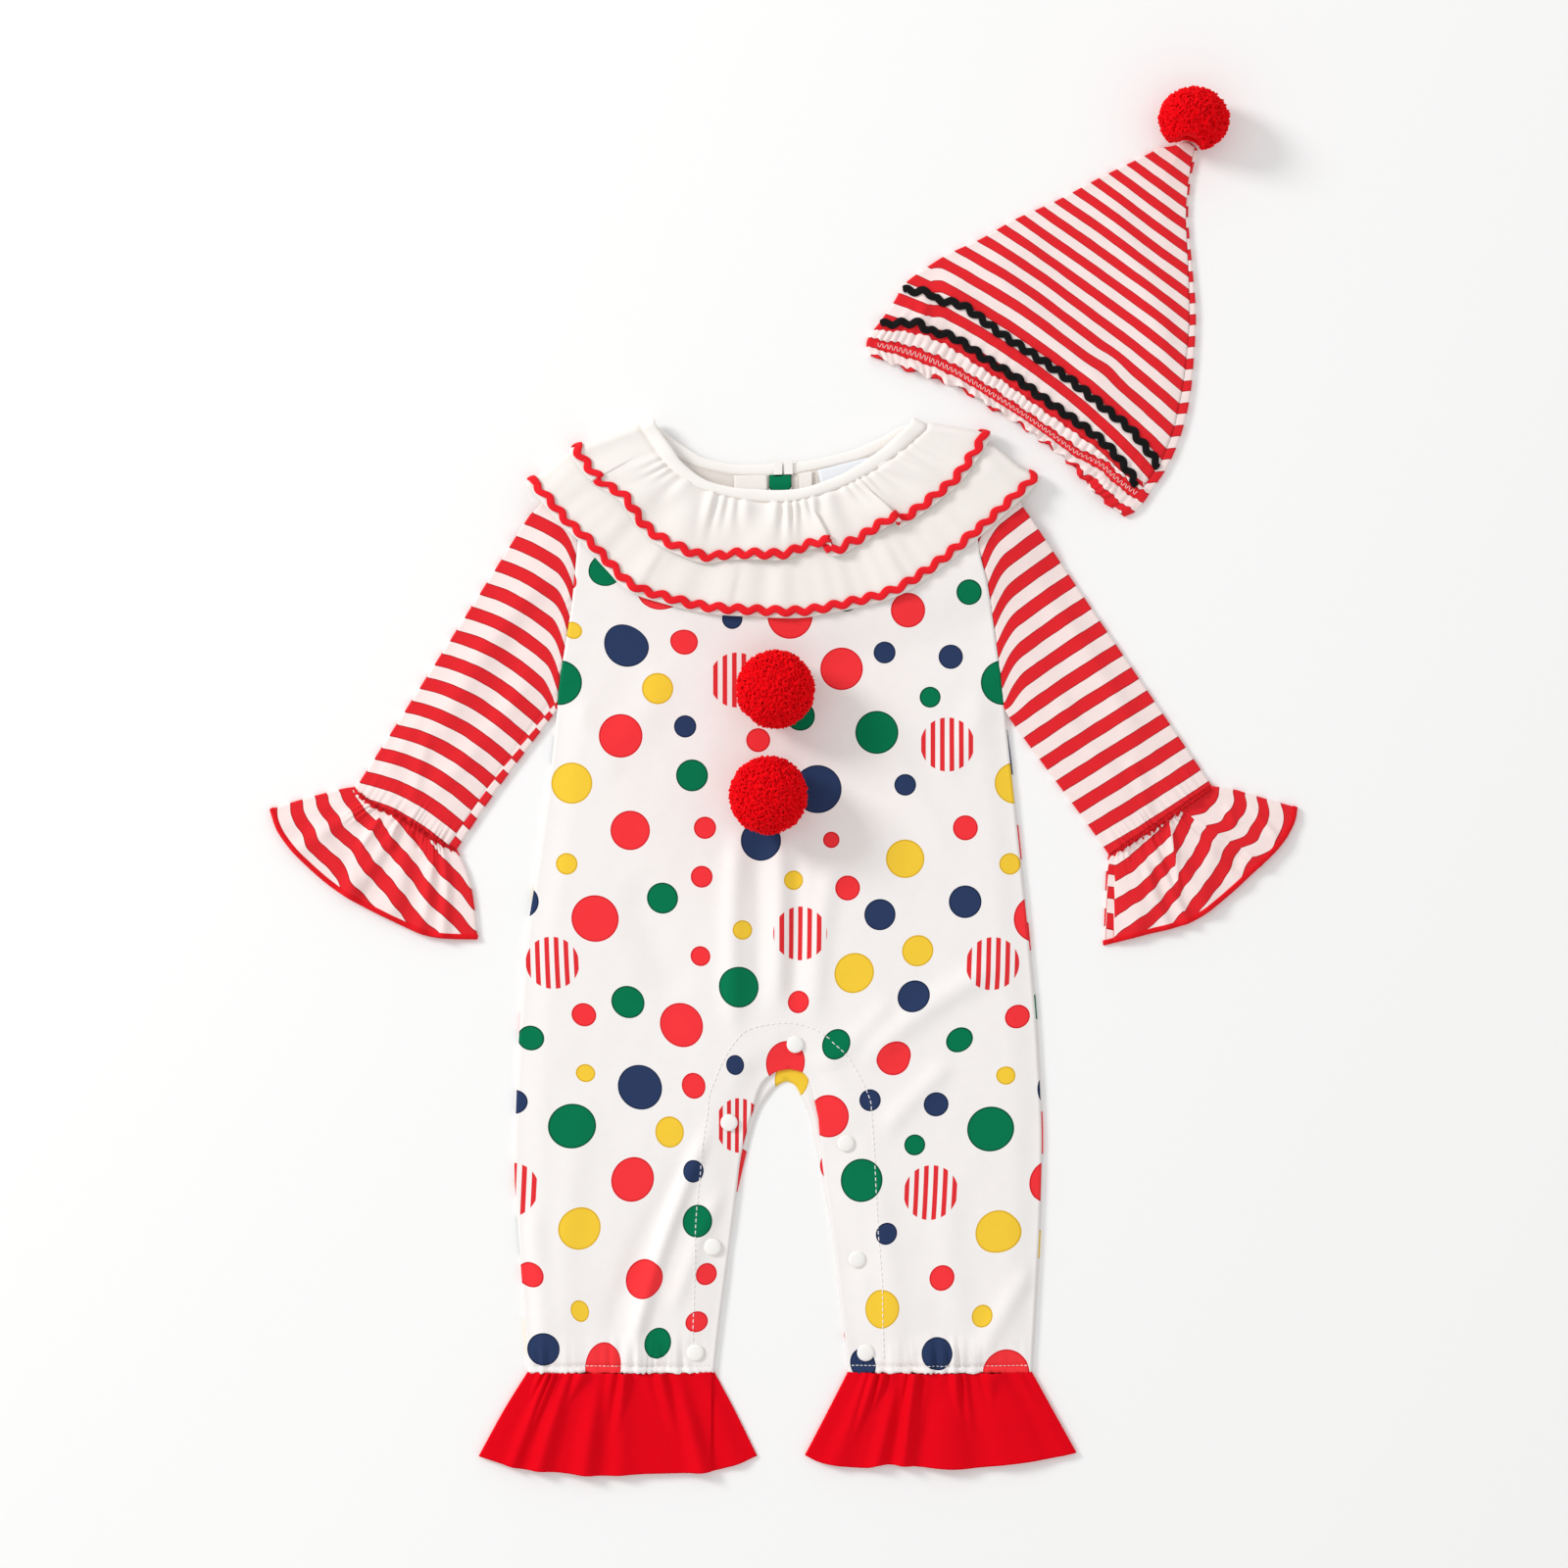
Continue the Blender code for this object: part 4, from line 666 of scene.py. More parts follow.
# %% [markdown]
# ## Front and back
# Each panel is bodice and trousers in one. A grid over it keeps level rows, which run from a side seam to the
# middle, and below the crotch to the inseam. The left and right halves share their middle column above the
# crotch, and part below it, so one grid makes both legs. Only near the neck do the rows bend up to the
# shoulders. The back is laid out in the same way, with its own neckline and a slit down from it.

# %% The panels
MIDDLE_TOP, LEG_END = {"front": 163.5, "back": 179.2}, -342.3  # y of a panel's top in the middle, and its end
ARM_FALL, NECK_FALL = 130, 95  # how far down the rows still rise to the armhole, and to the neckline


def levels(neck, crotch, step):
    """Heights of the rows in the middle: even steps, but fine ones at the crotch arch and at the leg hem."""
    above = np.linspace(neck, crotch, round((neck - crotch) / step) + 1)
    arch = crotch - np.array([0.4, 1, 1.8, 2.8, 4.0, 5.4, 7])
    below = np.linspace(crotch - 9, LEG_END + 11, round((crotch - 20 - LEG_END) / step))
    hem = np.linspace(LEG_END + 10.4, LEG_END, round(24 / step))
    return np.concatenate([above, arch, below, hem]), len(above) - 1


def half(side, neckline, neck_y, crotch, inseam, middle, step, count, proud):
    """Rows of x and y from the side seam to the middle: the straight row, raised to the shoulder and neckline
    at the top by (top's height above the straight row) * (1 - smooth(depth / NECK_FALL))."""
    y_in, split = levels(neck_y, crotch[0][1], step)
    depth = neck_y - y_in
    y_out = y_in + (ARMHOLE[side][0][1] - neck_y) * (1 - smooth(depth / ARM_FALL))
    seam = np.vstack([curve(ARMHOLE[side], steps(60)), curve(SIDE[side], steps(150))])
    x_out = np.interp(-y_out, -seam[:, 1], seam[:, 0]) + proud * smooth((50 - y_out) / 40)
    legs = np.vstack([curve(crotch, steps(30)), curve(inseam, steps(40))])
    x_in = np.where(y_in >= crotch[0][1], np.interp(depth, [0, depth[split]], [middle, crotch[0][0]]),
                    np.interp(-y_in, -legs[:, 1], legs[:, 0]))
    share = steps(count)
    x = x_out[:, None] * (1 - share) + x_in[:, None] * share
    y = y_out[:, None] * (1 - share) + y_in[:, None] * share
    own = [p for p in SHOULDER[side] + neckline if abs(p[0]) > 3 and (p[0] < 0) == (side == "left")]
    top = np.array(sorted(own + [(middle, neck_y)], key=lambda p: abs(p[0])))
    rise = np.interp(np.abs(x[0]), np.abs(top[:, 0]), top[:, 1]) - y[0]
    scallop = 0.9 * wave(x / 5.1 + 0.8 * np.sin(x / 7)) * smooth((HEM_LINE - 0.5 - y) / 3)
    return np.stack([x, y - scallop + rise * (1 - smooth(depth / NECK_FALL))[:, None]], axis=-1), split


def panel(name, neckline, crotch, inseam, height, step, count, slit=0.0, proud=0.0, shift=(0, 0)):
    """Both halves in one mesh, welded in the middle from the slit's end down to the crotch. The back stands
    proud of the front on the right, and the print on it is shifted."""
    neck_y = MIDDLE_TOP[name]
    halves = [half(side, neckline, neck_y, crotch[side], inseam[side], (-2 + way * slit) * (slit > 0), step, count,
                   proud * (side == "right")) for side, way in (("left", -1), ("right", 1))]
    (left, split), (right, _) = halves
    xy = np.concatenate([left, right[:, ::-1]], axis=1)
    grid = raised(xy, height)
    number = np.arange(grid[..., 0].size).reshape(grid.shape[:2])
    first = np.searchsorted(-left[:, -1, 1], -SLIT_END) if slit else 0
    number[first:split + 1, count] = number[first:split + 1, count - 1]
    faces = np.concatenate([quads(number[:, :count]), quads(number[:, count:])])
    uv = (print_at(grid[..., 0], grid[..., 1]) + np.array(shift) * MM).reshape(-1, 2)[faces]
    used, faces = np.unique(faces, return_inverse=True)
    return piece(name + "_panel", grid.reshape(-1, 3)[used], faces.reshape(-1, 4).tolist(), DOTTED, name, uv, WALL)


front = panel("front", NECK_FRONT, CROTCH, INSEAM, front_height, 2.45, 70)
back = panel("back", NECK_BACK, CROTCH_BACK, INSEAM_BACK, under, 4.6, 36, slit=0.3, proud=0.9, shift=(33.5, 62.7))
# Inside the neck the back shows its wrong side, with painted shade; on the shell's lower face, the print
back.data.materials.clear()
for material in (WRONG_SIDE_SHADED, DOTTED, DOTTED):
    back.data.materials.append(material)
centres = np.zeros((len(back.data.polygons), 3))
back.data.polygons.foreach_get("center", centres.ravel())
back.data.polygons.foreach_set("material_index", (centres[:, 1] < 0.05).astype(int))
back.modifiers["wall"].material_offset = 1
print("panels:", faces_of(front, back))

# %% [markdown]
# ## Sleeves and ruffles
# A sleeve laid flat is a tube of two layers with a fold along each side. Its grid's rows are rings round the
# tube: over the upper layer, round the fold, back under, and round the other fold. The ruffles are tubes as
# well, and gathering makes them: a longer edge is drawn up on a shorter seam, so there are fine, uneven
# pleats at the seam, which run together into fewer and wider flutes towards the hem.

# %% Tubes of cloth
FOLD_STEPS = 7


def fold(start, end, corner):
    """Half a turn from the layer that ends at start to the one that begins at end, out to the corner."""
    turn = np.pi * (0.5 - np.arange(FOLD_STEPS + 1) / FOLD_STEPS)[None, :, None]
    middle = (start + end) / 2
    xy = middle[..., :2] + (corner - middle[..., :2]) * np.cos(turn)
    return np.concatenate([xy, middle[..., 2:] + (start - end)[..., 2:] / 2 * np.sin(turn)], axis=-1)


def flat_tube(edges, first, last, rows, count, over, beneath, low_count=14, seam=None, strip=6, drop=0.0, gap=0.2):
    """Rings of a tube folded flat, and each point's share of the way across. over(x, y, u, c) and
    beneath(x, y) are the layers' heights. Where a seam lies on top, at seam mm from the second edge, strip
    columns come after it, and lie drop mm lower. Both sides keep gap mm off its line."""
    u = rows[:, None]
    ends = patch(*edges, first, last, u, steps(2))
    width = np.linalg.norm(ends[:, 1] - ends[:, 0], axis=-1)[:, None]
    margin = BEND / width
    if seam is None:
        across = margin + (1 - 2 * margin) * steps(count)
    else:
        at, gap = 1 - seam / width, gap / width
        across = np.concatenate([margin + (at - gap - margin) * steps(count),
                                 at + gap + (1 - margin - at - gap) * steps(strip)], axis=1)
    back_across = margin + (1 - 2 * margin) * steps(low_count)[::-1]
    top, low = patch(*edges, first, last, u, across), patch(*edges, first, last, u, back_across)
    top, low = raised(top, lambda x, y: over(x, y, u, across)), raised(low, beneath)
    top[:, count:, 2] -= drop
    right, left = fold(top[:, -1:], low[:, :1], ends[:, 1:]), fold(low[:, -1:], top[:, :1], ends[:, :1])
    grid = np.concatenate([top, right[:, 1:-1], low, left[:, 1:-1], top[:, :1]], axis=1)
    folded = np.ones((len(rows), FOLD_STEPS - 1))
    return grid, np.concatenate([across, folded, back_across, 0 * folded, across[:, :1]], axis=1)


def dense(count, ends=0.3):
    """Rows that lie closer together at both ends, where the gathers are fine."""
    s = steps(count)
    return s - ends * np.sin(2 * np.pi * s) / (2 * np.pi)


SLEEVE_COLUMNS, SLEEVE_SEAM = 80, 4.9  # columns up to the seam on top, and its mm from the inner edge


def sleeve(side):
    edges, seamed = (SLEEVE_OUTER[side], SLEEVE_INNER[side]), side == "left"
    low = puffed(edges, under, SLEEVE_CREASES)

    def over(x, y, u, c):
        puckers = wave(16 * c + 0.9 * np.sin(9 * c) + 0.3 * np.sin(31 * c)) * (0.65 + 0.35 * np.sin(23 * c + 1))
        start = 0.87 + 0.035 * np.sin(41 * c)
        puckers = puckers * (1.8 * smooth((u - start) / (1 - start)) + 0.6 * smooth(1 - u / 0.09))
        seam = bell((c - (1 - SLEEVE_SEAM / 75)) / 0.008) if seamed else 0
        return low(x, y) + smooth(6 * c) * smooth(8 * (1 - c)) * puckers - 0.5 * seam - 0.9 * bell(u / 0.015)

    grid, c = flat_tube(edges, ARMHOLE[side], GATHER[side], dense(74, 0.35), SLEEVE_COLUMNS, over, under,
                        seam=SLEEVE_SEAM if seamed else None)
    x, y = grid[..., 0], grid[..., 1]
    cap = 11 if seamed else 15  # near the armhole the sleeve's cap is eased in, and its rows turn down
    rows = rows_at("sleeve_" + side, x, y) - 0.55 * np.clip(1 - distance(x, y, [ARMHOLES[side]]) / cap, 0, 1) ** 2
    if seamed:  # past the seam the stripes don't meet
        past = rows[:, SLEEVE_COLUMNS:]
        past += 0.42 * (1 - smooth((np.arange(past.shape[1]) - 18) / 14))
    return striped(f"sleeve_{side}_tube", grid, rows, c, "sleeve_" + side, closed=True)


def gathered(u, c, seed, fine, broad, small, tall, keep):
    """Fine pleats at the seam (u = 0), which fade by keep, and broad flutes that grow towards the hem."""
    a, b, d = np.random.default_rng(seed).uniform(0, 2 * np.pi, 3)
    wander = c + (0.35 * np.sin(7 * c + a) + 0.15 * np.sin(19 * c + b)) / broad
    pleats = wave(fine * wander + 0.6 * np.sin(13 * c + d) + 0.5 * u * np.sin(9 * c + b))
    reach = keep * (0.75 + 0.45 * np.sin(23 * c + b))
    pleats = pleats * (0.55 + 0.45 * np.sin(31 * c + a)) * (1 - smooth(u / reach))
    flutes = wave(broad * wander) ** 1.4 * (0.7 + 0.3 * np.sin(11 * c + d))
    return faded(c, 7) * (small * pleats + tall * flutes * (0.25 + 0.75 * smooth(u / 0.6)))


RUFFLE_COLUMNS = 200


def ruffle(edges, first, last, seed, fine, broad, small, tall, rows=50, keep=0.42, high=0.0, **strip):
    """A gathered tube that lies on the table: its grid, each point's share across, and the rows' u. Right at
    the seam it is drawn up into a crumpled ridge, high mm tall and 3 mm wide."""
    low, long = puffed(edges, table_top, CUFF_CREASES, air=1.2), length_of(edges[0])

    def over(x, y, u, c):
        ridge = bell((u * long - 1.9) / 1.2) * faded(c, 9)
        crumple = 0.55 + 0.45 * np.sin(170 * c + 2 * np.sin(23 * c)) * np.sin(71 * c + seed)
        return low(x, y) + gathered(u, c, seed, fine, broad, small, tall, keep) + high * ridge * crumple

    u = dense(rows)
    return *flat_tube(edges, first, last, u, RUFFLE_COLUMNS, over, table_top, low_count=24, **strip), u[:, None]


def overlocked(name, ring, inner, width, thick, material, uneven=0.0):
    """A hem's overlock: a flat tube along the closed ring, whose section is an ellipse across the cloth. Every
    second ring is a little thicker, for the threads that wrap the edge, and uneven makes it beaded."""
    out = unit(ring - inner)
    up = unit(np.cross(out, np.gradient(ring, axis=0)))
    number = np.arange(len(ring))
    wraps = (1 + 0.14 * (number % 2) + uneven * np.sin(1.7 * number + 2 * np.sin(0.37 * number)))[:, None, None]
    rings = (ring - 0.35 * width * out)[:, None] + wraps * rounds(width / 2 * out, thick / 2 * up, 8)
    rings[..., 2] = np.maximum(rings[..., 2], 0.1)  # the table flattens it
    return tubes(name, rings[None], material)


CUFF = {"left": dict(seed=11, fine=21, broad=6, small=1.9, tall=2.6, high=1.9),
        "right": dict(seed=12, fine=19, broad=7, small=1.7, tall=2.4, high=1.9, seam=5.5, strip=8, drop=1.2)}
LEG_ROWS = 38
side_seam = 1.0 + 27 * dense(LEG_ROWS)[:, None]  # on the left leg the seam slants away from the edge
LEG = {"left": dict(seed=21, fine=12, broad=6, small=4.1, tall=5.0, keep=0.7, seam=side_seam, strip=36, drop=1.3),
       "right": dict(seed=25, fine=13, broad=6, small=3.9, tall=4.8, keep=0.75)}
RIDGE = {"left": slice(12, 200), "right": slice(4, 196)}  # columns where the cuff's seam is drawn up
sleeves, cuffs, hems, beads, leg_ruffles = {}, {}, {}, {}, {}
for side in ("left", "right"):
    sleeves[side] = sleeve(side)
    grid, c, u = ruffle((CUFF_OUTER[side], CUFF_INNER[side]), GATHER[side], CUFF_HEM[side], **CUFF[side])
    x, y = grid[..., 0], grid[..., 1]
    rows = cuff_rows(side, x, y) + smooth(2.5 * u) * (0.04 * np.sin(31 * c + 3 * np.sin(5 * c) + 2 * u)
                                                     + 0.012 * np.sin(73 * c + 3 * u))
    if side == "right":  # the strip past the seam is the back's, with its own run of stripes
        strip = slice(RUFFLE_COLUMNS, RUFFLE_COLUMNS + CUFF[side]["strip"])
        rows[:, strip] = rows_at("cuff_right_back", x[:, strip], y[:, strip])
    # at the seam one red row is drawn up, with a ragged edge
    ragged = 2.3 + 0.8 * np.sin(110 * c + 1.5 * np.sin(11 * c)) + 0.4 * np.sin(203 * c)
    drawn = smooth(0.5 + (ragged - 50 * u) / 0.9)
    rows = rows * (1 - drawn) + np.round(rows) * drawn
    cuffs[side] = striped(f"cuff_{side}_ruffle", grid, rows, c, "cuff_" + side, closed=True)
    hems[side] = overlocked(f"cuff_{side}_overlock", grid[-1], grid[-2], 3.3, 1.8, RED_THREAD)
    ridge = grid[:, RIDGE[side]] + (0, 0, 1.0)
    # the drawn-up ridge is a darker red, painted shade of its crumples
    beads[side] = overlocked(f"cuff_{side}_ruching", ridge[2], ridge[1], 2.3, 1.7, RUCHING_SHADED, uneven=0.35)
    grid, c, u = ruffle((LEG_OUTER[side], LEG_INNER[side]), LEG_TOP[side], LEG_HEM[side], rows=LEG_ROWS, **LEG[side])
    leg_ruffles[side] = cloth(f"leg_{side}_ruffle", grid, RED_CLOTH, "leg_ruffle_" + side, closed=True)
print("tubes:", faces_of(*sleeves.values(), *cuffs.values(), *leg_ruffles.values()))

# %% [markdown]
# ## The hat
# The hat is a cone of two panels, folded flat. The seam doesn't lie on the fold: the back panel rolls round
# the right edge and meets the front a little inside it. So the cone is worked out as one tube, and its rings
# are cut in two at the seam.

# %% The cone
HAT_EDGES = HAT_LEFT, HAT_RIGHT
hat_low = puffed(HAT_EDGES, table_top, HAT_CREASES)
SEAM_LINE = curve(HAT_SEAM, steps(160))


def hat_top(x, y):
    """The cone's upper layer, with a groove along the seam and fine gathers above the band."""
    off = np.linalg.norm(np.stack([x, y], axis=-1)[..., None, :] - SEAM_LINE[::4], axis=-1).min(axis=-1)
    along_band = (x - 53) * 0.86 - (y - 265) * 0.51
    above = y - np.interp(x, *np.transpose(BAND_TOP))
    near = smooth(1 - above / 26) * smooth(off / 8) * smooth(distance(x, y, [HAT_LEFT]) / 8)
    gather = wave(along_band / 9.5 + 0.5 * np.sin(along_band / 13)) * 0.9 + 0.5 * wave(along_band / 4.3)
    return hat_low(x, y) - 0.5 * bell(off / 1.5) + near * gather


def hat_cone():
    """The grids of the front and of the back, which turns round both edges. Each row is cut where it passes
    nearest to the seam, smoothed over nine rows."""
    u, share = dense(100, 0.1), steps(160)
    line = patch(*HAT_EDGES, HAT_TIP, BAND_TOP, u[:, None], share)
    cut = share[np.linalg.norm(line[:, :, None] - SEAM_LINE, axis=-1).min(axis=-1).argmin(axis=1)]
    kernel = np.hanning(9) / np.hanning(9).sum()
    off = (1 - np.convolve(np.pad(cut, 4, mode="edge"), kernel, "valid")) * np.linalg.norm(
        line[:, -1] - line[:, 0], axis=-1)
    grid, _ = flat_tube(HAT_EDGES, HAT_TIP, BAND_TOP, u, 110, lambda x, y, u, c: hat_top(x, y), table_top,
                        low_count=30, seam=off[:, None], strip=10, gap=0.15)
    return np.concatenate([grid[:, -6:-1], grid[:, :110]], axis=1), grid[:, 110:-5]


front_grid, back_grid = hat_cone()
x, y = front_grid[..., 0], front_grid[..., 1]
# Low on the left the stripes bend level, and a short seam joins two widths of cloth
rows = rows_at("hat", x, y) - 0.2 * smooth((93 - x) / 8) - 0.06 * smooth(0.5 - (x - 81.5 - 0.136 * (y - 259)) / 0.9)
rows += 0.05 * ripple(x, y, 70, 15) + 0.16 * bell(np.hypot(x - 189, y - 243) / 9)
# Right above the band the cone always ends in red
last = smooth(1 - (y - np.interp(x, *np.transpose(BAND_TOP)) - 2.5) / 2)
rows += last * (np.round(rows) - rows)
hat_front = striped("hat_front_panel", front_grid, rows, 0 * rows, "hat_front")
rows = (0.12 * back_grid[..., 0] - back_grid[..., 1]) / 12.7
hat_back = striped("hat_back_panel", back_grid, rows, 0 * rows, "hat_back")


# Rows of the stripe across the band: share of the way from the cone to the hem, and row number
BAND_ROWS = [(-0.1, -0.25), (0.0, 0.0), (0.07, 0.25), (0.38, 0.75), (0.70, 1.25), (1.0, 1.75), (1.35, 2.25)]
BAND_COLUMNS, BAND_LINES = 320, 35
band_low = puffed((BAND_LEFT, BAND_RIGHT), table_top, air=1.0)


def drift(c):
    """The casing runs off the stripe towards the right end: by how much, as a share of the band's depth."""
    return 0.3 * smooth((c - 0.72) / 0.13)


def band_over(x, y, u, c):
    """Tucks down to the casing, the casing flat between two stitched grooves, and a frill past it."""
    w = u + drift(c)
    tucks = wave(41 * c + 0.5 * np.sin(13 * c)) ** 0.7 * (0.8 + 0.2 * np.sin(37 * c))
    tucks = 1.5 * tucks * smooth(w / 0.12) * smooth((0.43 - w) / 0.1) + 0.5 * tucks * smooth((w - 0.4) / 0.1)
    grooves = -0.9 * (bell((w - 0.42) / 0.035) + bell((w - 0.67) / 0.035))
    frill = 1.9 * wave(15 * c + 0.5 * np.sin(17 * c)) + 0.9 * wave(33 * c + 0.7 * np.sin(29 * c))
    joined = 1 - smooth(u / 0.3)  # at the cone's edge the band is as high as the cone
    return (band_low(x, y) * (1 - joined) + hat_top(x, y) * joined
            + faded(c, 25) * (tucks + grooves + frill * smooth((w - 0.68) / 0.22)))


u = steps(BAND_LINES)[:, None]
band_grid, c = flat_tube((BAND_LEFT, BAND_RIGHT), BAND_TOP, BAND_HEM, u[:, 0], BAND_COLUMNS, band_over, table_top,
                         low_count=60)
# The frill's free edge swings in and out, and the stripe's edge is ragged where the cloth is drawn up
out = unit(band_grid[-1, :, :2] - band_grid[-8, :, :2])
swing = 1.2 * np.sin(94 * c + 2 * np.sin(9 * c)) + 0.3 * np.sin(171 * c + np.sin(31 * c))
band_grid[..., :2] += (swing * smooth((u - 0.6) / 0.4) * faded(c, 12))[..., None] * out
ragged = (0.018 * np.sin(258 * c + 3 * np.sin(13 * c)) + 0.02 * np.sin(91 * c)
          + 0.09 * np.sin(60 * c) * smooth((u - 0.75) / 0.15))
rows = np.interp(u + drift(c) + ragged, *np.transpose(BAND_ROWS))
hat_band = striped("hat_band_ruffle", band_grid, rows, c, "hat_band", closed=True)
print("hat:", faces_of(hat_front, hat_back, hat_band))

# %% [markdown]
# ## The collar
# Each tier is a strip gathered onto the neck seam. It covers the front, turns over both shoulders and goes on
# under the garment to the slit, so one band makes it all: t goes round the neck and v from the seam out to
# the hem. In front it lies on the layers beneath it, and adds its own gathers and waves. Where the cloth has
# too much length at the hem, a wave tips over and lies on its neighbour. Such a fold moves the cloth sideways
# as well as up, so the band's function shifts points in x too.

# %% Bands round the neck
ARCH_TOP, ARCH_END, ARCH_RISE = 0.64, 0.88, 6.0  # at the shoulder the lower tier arches over the upper one's end
BACK_SHARE = 0.498  # each back half's share of the back edge: the opening takes the rest


class Band:
    """A strip between an inner and an outer edge. t runs 0 to 1 along the back's left half, to 2 over the
    left shoulder, to 3 along the front, to 4 over the right shoulder and to 5 along the back's right half."""

    def __init__(self, front, back, over, beneath, shape=None, arch=0.0):
        self.front, self.back, self.arch = front, back, arch
        self.over, self.beneath = over, beneath
        self.shape = shape or (lambda share, v: (0 * share, 0 * share))

    def edge(self, curves, share, v):
        arch = np.clip(np.minimum(v / ARCH_TOP, (ARCH_END - v) / (ARCH_END - ARCH_TOP)), 0, 1)
        arch = self.arch * arch * (1 - smooth(10 * share) + smooth(10 * share - 9))
        xy = curve(curves[0], share) * (1 - v[..., None]) + curve(curves[1], share) * v[..., None]
        return xy + np.stack([0 * arch, arch], axis=-1)

    def lying(self, t, v):
        """Points of the front half (t from 2 to 3) or of a back half."""
        is_front = (t >= 2) & (t <= 3)
        share = np.where(t < 2, BACK_SHARE * (1 - t), 1 - BACK_SHARE * (t - 4))
        share = np.clip(np.where(is_front, t - 2, share), 0, 1)
        xy = np.where(is_front[..., None], self.edge(self.front, share, v), self.edge(self.back, share, v))
        dx, dz = self.shape(share, v)
        xy[..., 0] += np.where(is_front, dx, 0)
        x, y = xy[..., 0], xy[..., 1]
        return raised(xy, np.where(is_front, self.over(x, y) + dz, self.beneath(x, y, v)))

    def at(self, t, v):
        """Points at t and v, with half a turn over each shoulder."""
        t, v = (np.array(a, float) for a in np.broadcast_arrays(t, v))
        points = self.lying(np.where((t > 1) & (t < 2), 1, np.where((t > 3) & (t < 4), 4, t)), v)
        for first, front_t, back_t, turn in ((1, 2, 1, 1), (3, 3, 4, -1)):
            on = (t > first) & (t < first + 1)
            top, low = (self.lying(np.full(on.sum(), float(end)), v[on]) for end in (front_t, back_t))
            angle = np.pi * (t[on] - first - 0.5) * turn
            out = np.stack([-turn * 0.28 * np.cos(angle), 0.96 * np.cos(angle), np.sin(angle)], axis=-1)
            points[on] = (top + low) / 2 + (top - low)[:, 2:] / 2 * out
        return points

    def lifted(self, t, v, lift):
        """Points that far off the outer face."""
        t, v = (np.array(a, float) for a in np.broadcast_arrays(t, v))
        along = self.at(np.minimum(t + 0.004, 5), v) - self.at(np.maximum(t - 0.004, 0), v)
        normal = unit(np.cross(self.at(t, v + 0.02) - self.at(t, v - 0.02), along))
        return self.at(t, v) + np.asarray(lift)[..., None] * normal


def around(front_count, back_count=24, fold_count=9):
    """Values of t: the two back halves, the shoulder folds and the front."""
    halfway, bend = steps(back_count), steps(fold_count + 2)[1:-1]
    return np.concatenate([halfway, 1 + bend, 2 + steps(front_count), 3 + bend, 4 + halfway])


# Where a wave of the tier tips over: share along the front, how far it reaches to either side (in shares),
# how far it moves the cloth sideways and how high it stands, in mm
UPPER_TIPS = [(0.584, 0.05, 2.2, 2.7), (0.745, 0.05, 2.6, 2.9), (0.06, 0.04, 1.2, 1.4)]
LOWER_TIPS = [(0.245, 0.045, 0.2, 1.1), (0.405, 0.035, 0.15, 0.8), (0.715, 0.05, 0.2, 1.2)]
DROP, SOFT_DROP = 0.14, 0.45  # share of the reach over which a tipped or a merely leaning wave drops


def tipped(share, v, tips):
    """Sum of the tips: before each one the cloth climbs and moves right, over a narrow step it drops and moves
    left, and after it comes back."""
    dx, dz = 0 * share, 0 * share
    for at, reach, shift, tall in tips:
        e = (share - at) / reach
        climb = smooth(1 + e)
        drop = smooth(e / (DROP if shift > 0.5 else SOFT_DROP))
        back = smooth(1 - (e - DROP) / 1.1)
        grow = smooth(1.35 * v - 0.1)
        dx = dx + shift * grow * np.where(e < 0, climb, (1 - 2 * drop) * np.where(e < DROP, 1, back))
        dz = dz + tall * grow * np.where(e < 0, climb, 1 - drop)
    return dx, dz


GATHERS = np.random.default_rng(5).uniform(0.2, 1.25, 34)  # each gather's depth


def upper_shape(share, v):
    """Uneven gathers that are strongest at the neck and fan out, and broad waves that grow towards the hem."""
    turn = 26 * share + 0.7 * np.sin(9 * share) + 0.5 * np.sin(31 * share + 2) + 0.9 * v * np.sin(14 * share)
    deep = np.interp(turn, np.arange(-2, 32), GATHERS)
    fine = wave(turn) * deep * bell((v - 0.12) / (0.2 + 0.2 * deep))
    second = wave(13 * share + 0.4 * np.sin(11 * share)) * bell((v - 0.55) / 0.33)
    broad = wave(7.4 * share + 0.25 * np.sin(8 * share) + 0.2) * smooth(1.2 * v - 0.1)
    dx, dz = tipped(share, v, UPPER_TIPS)
    return dx, faded(share, 7) * (2.2 * fine + 0.9 * second + 1.8 * broad + dz) - 1.5 * bell(v / 0.045)


def lower_shape(share, v):
    """Calm under the upper tier, with sharp upright folds where it shows."""
    shows = smooth((v - 0.45) / 0.3)
    dx, dz = tipped(share, v, LOWER_TIPS)
    soft = 0.8 * wave(9 * share + 0.3 * np.sin(12 * share)) + 0.3 * wave(23 * share + np.sin(9 * share))
    return dx * shows, faded(share, 9) * (shows * (dz + soft) + 0.3 * wave(17 * share)) - 0.5 * bell(v / 0.045)


LOW_TIER = 1.9  # height of the tiers' back halves, under the garment


def lower_low_tier(x, y, v):
    """Over the upper tier's back half, and down on the table beyond it."""
    return LOW_TIER + LAYER * (1 - smooth((v - ARCH_TOP) / (ARCH_END - ARCH_TOP)))


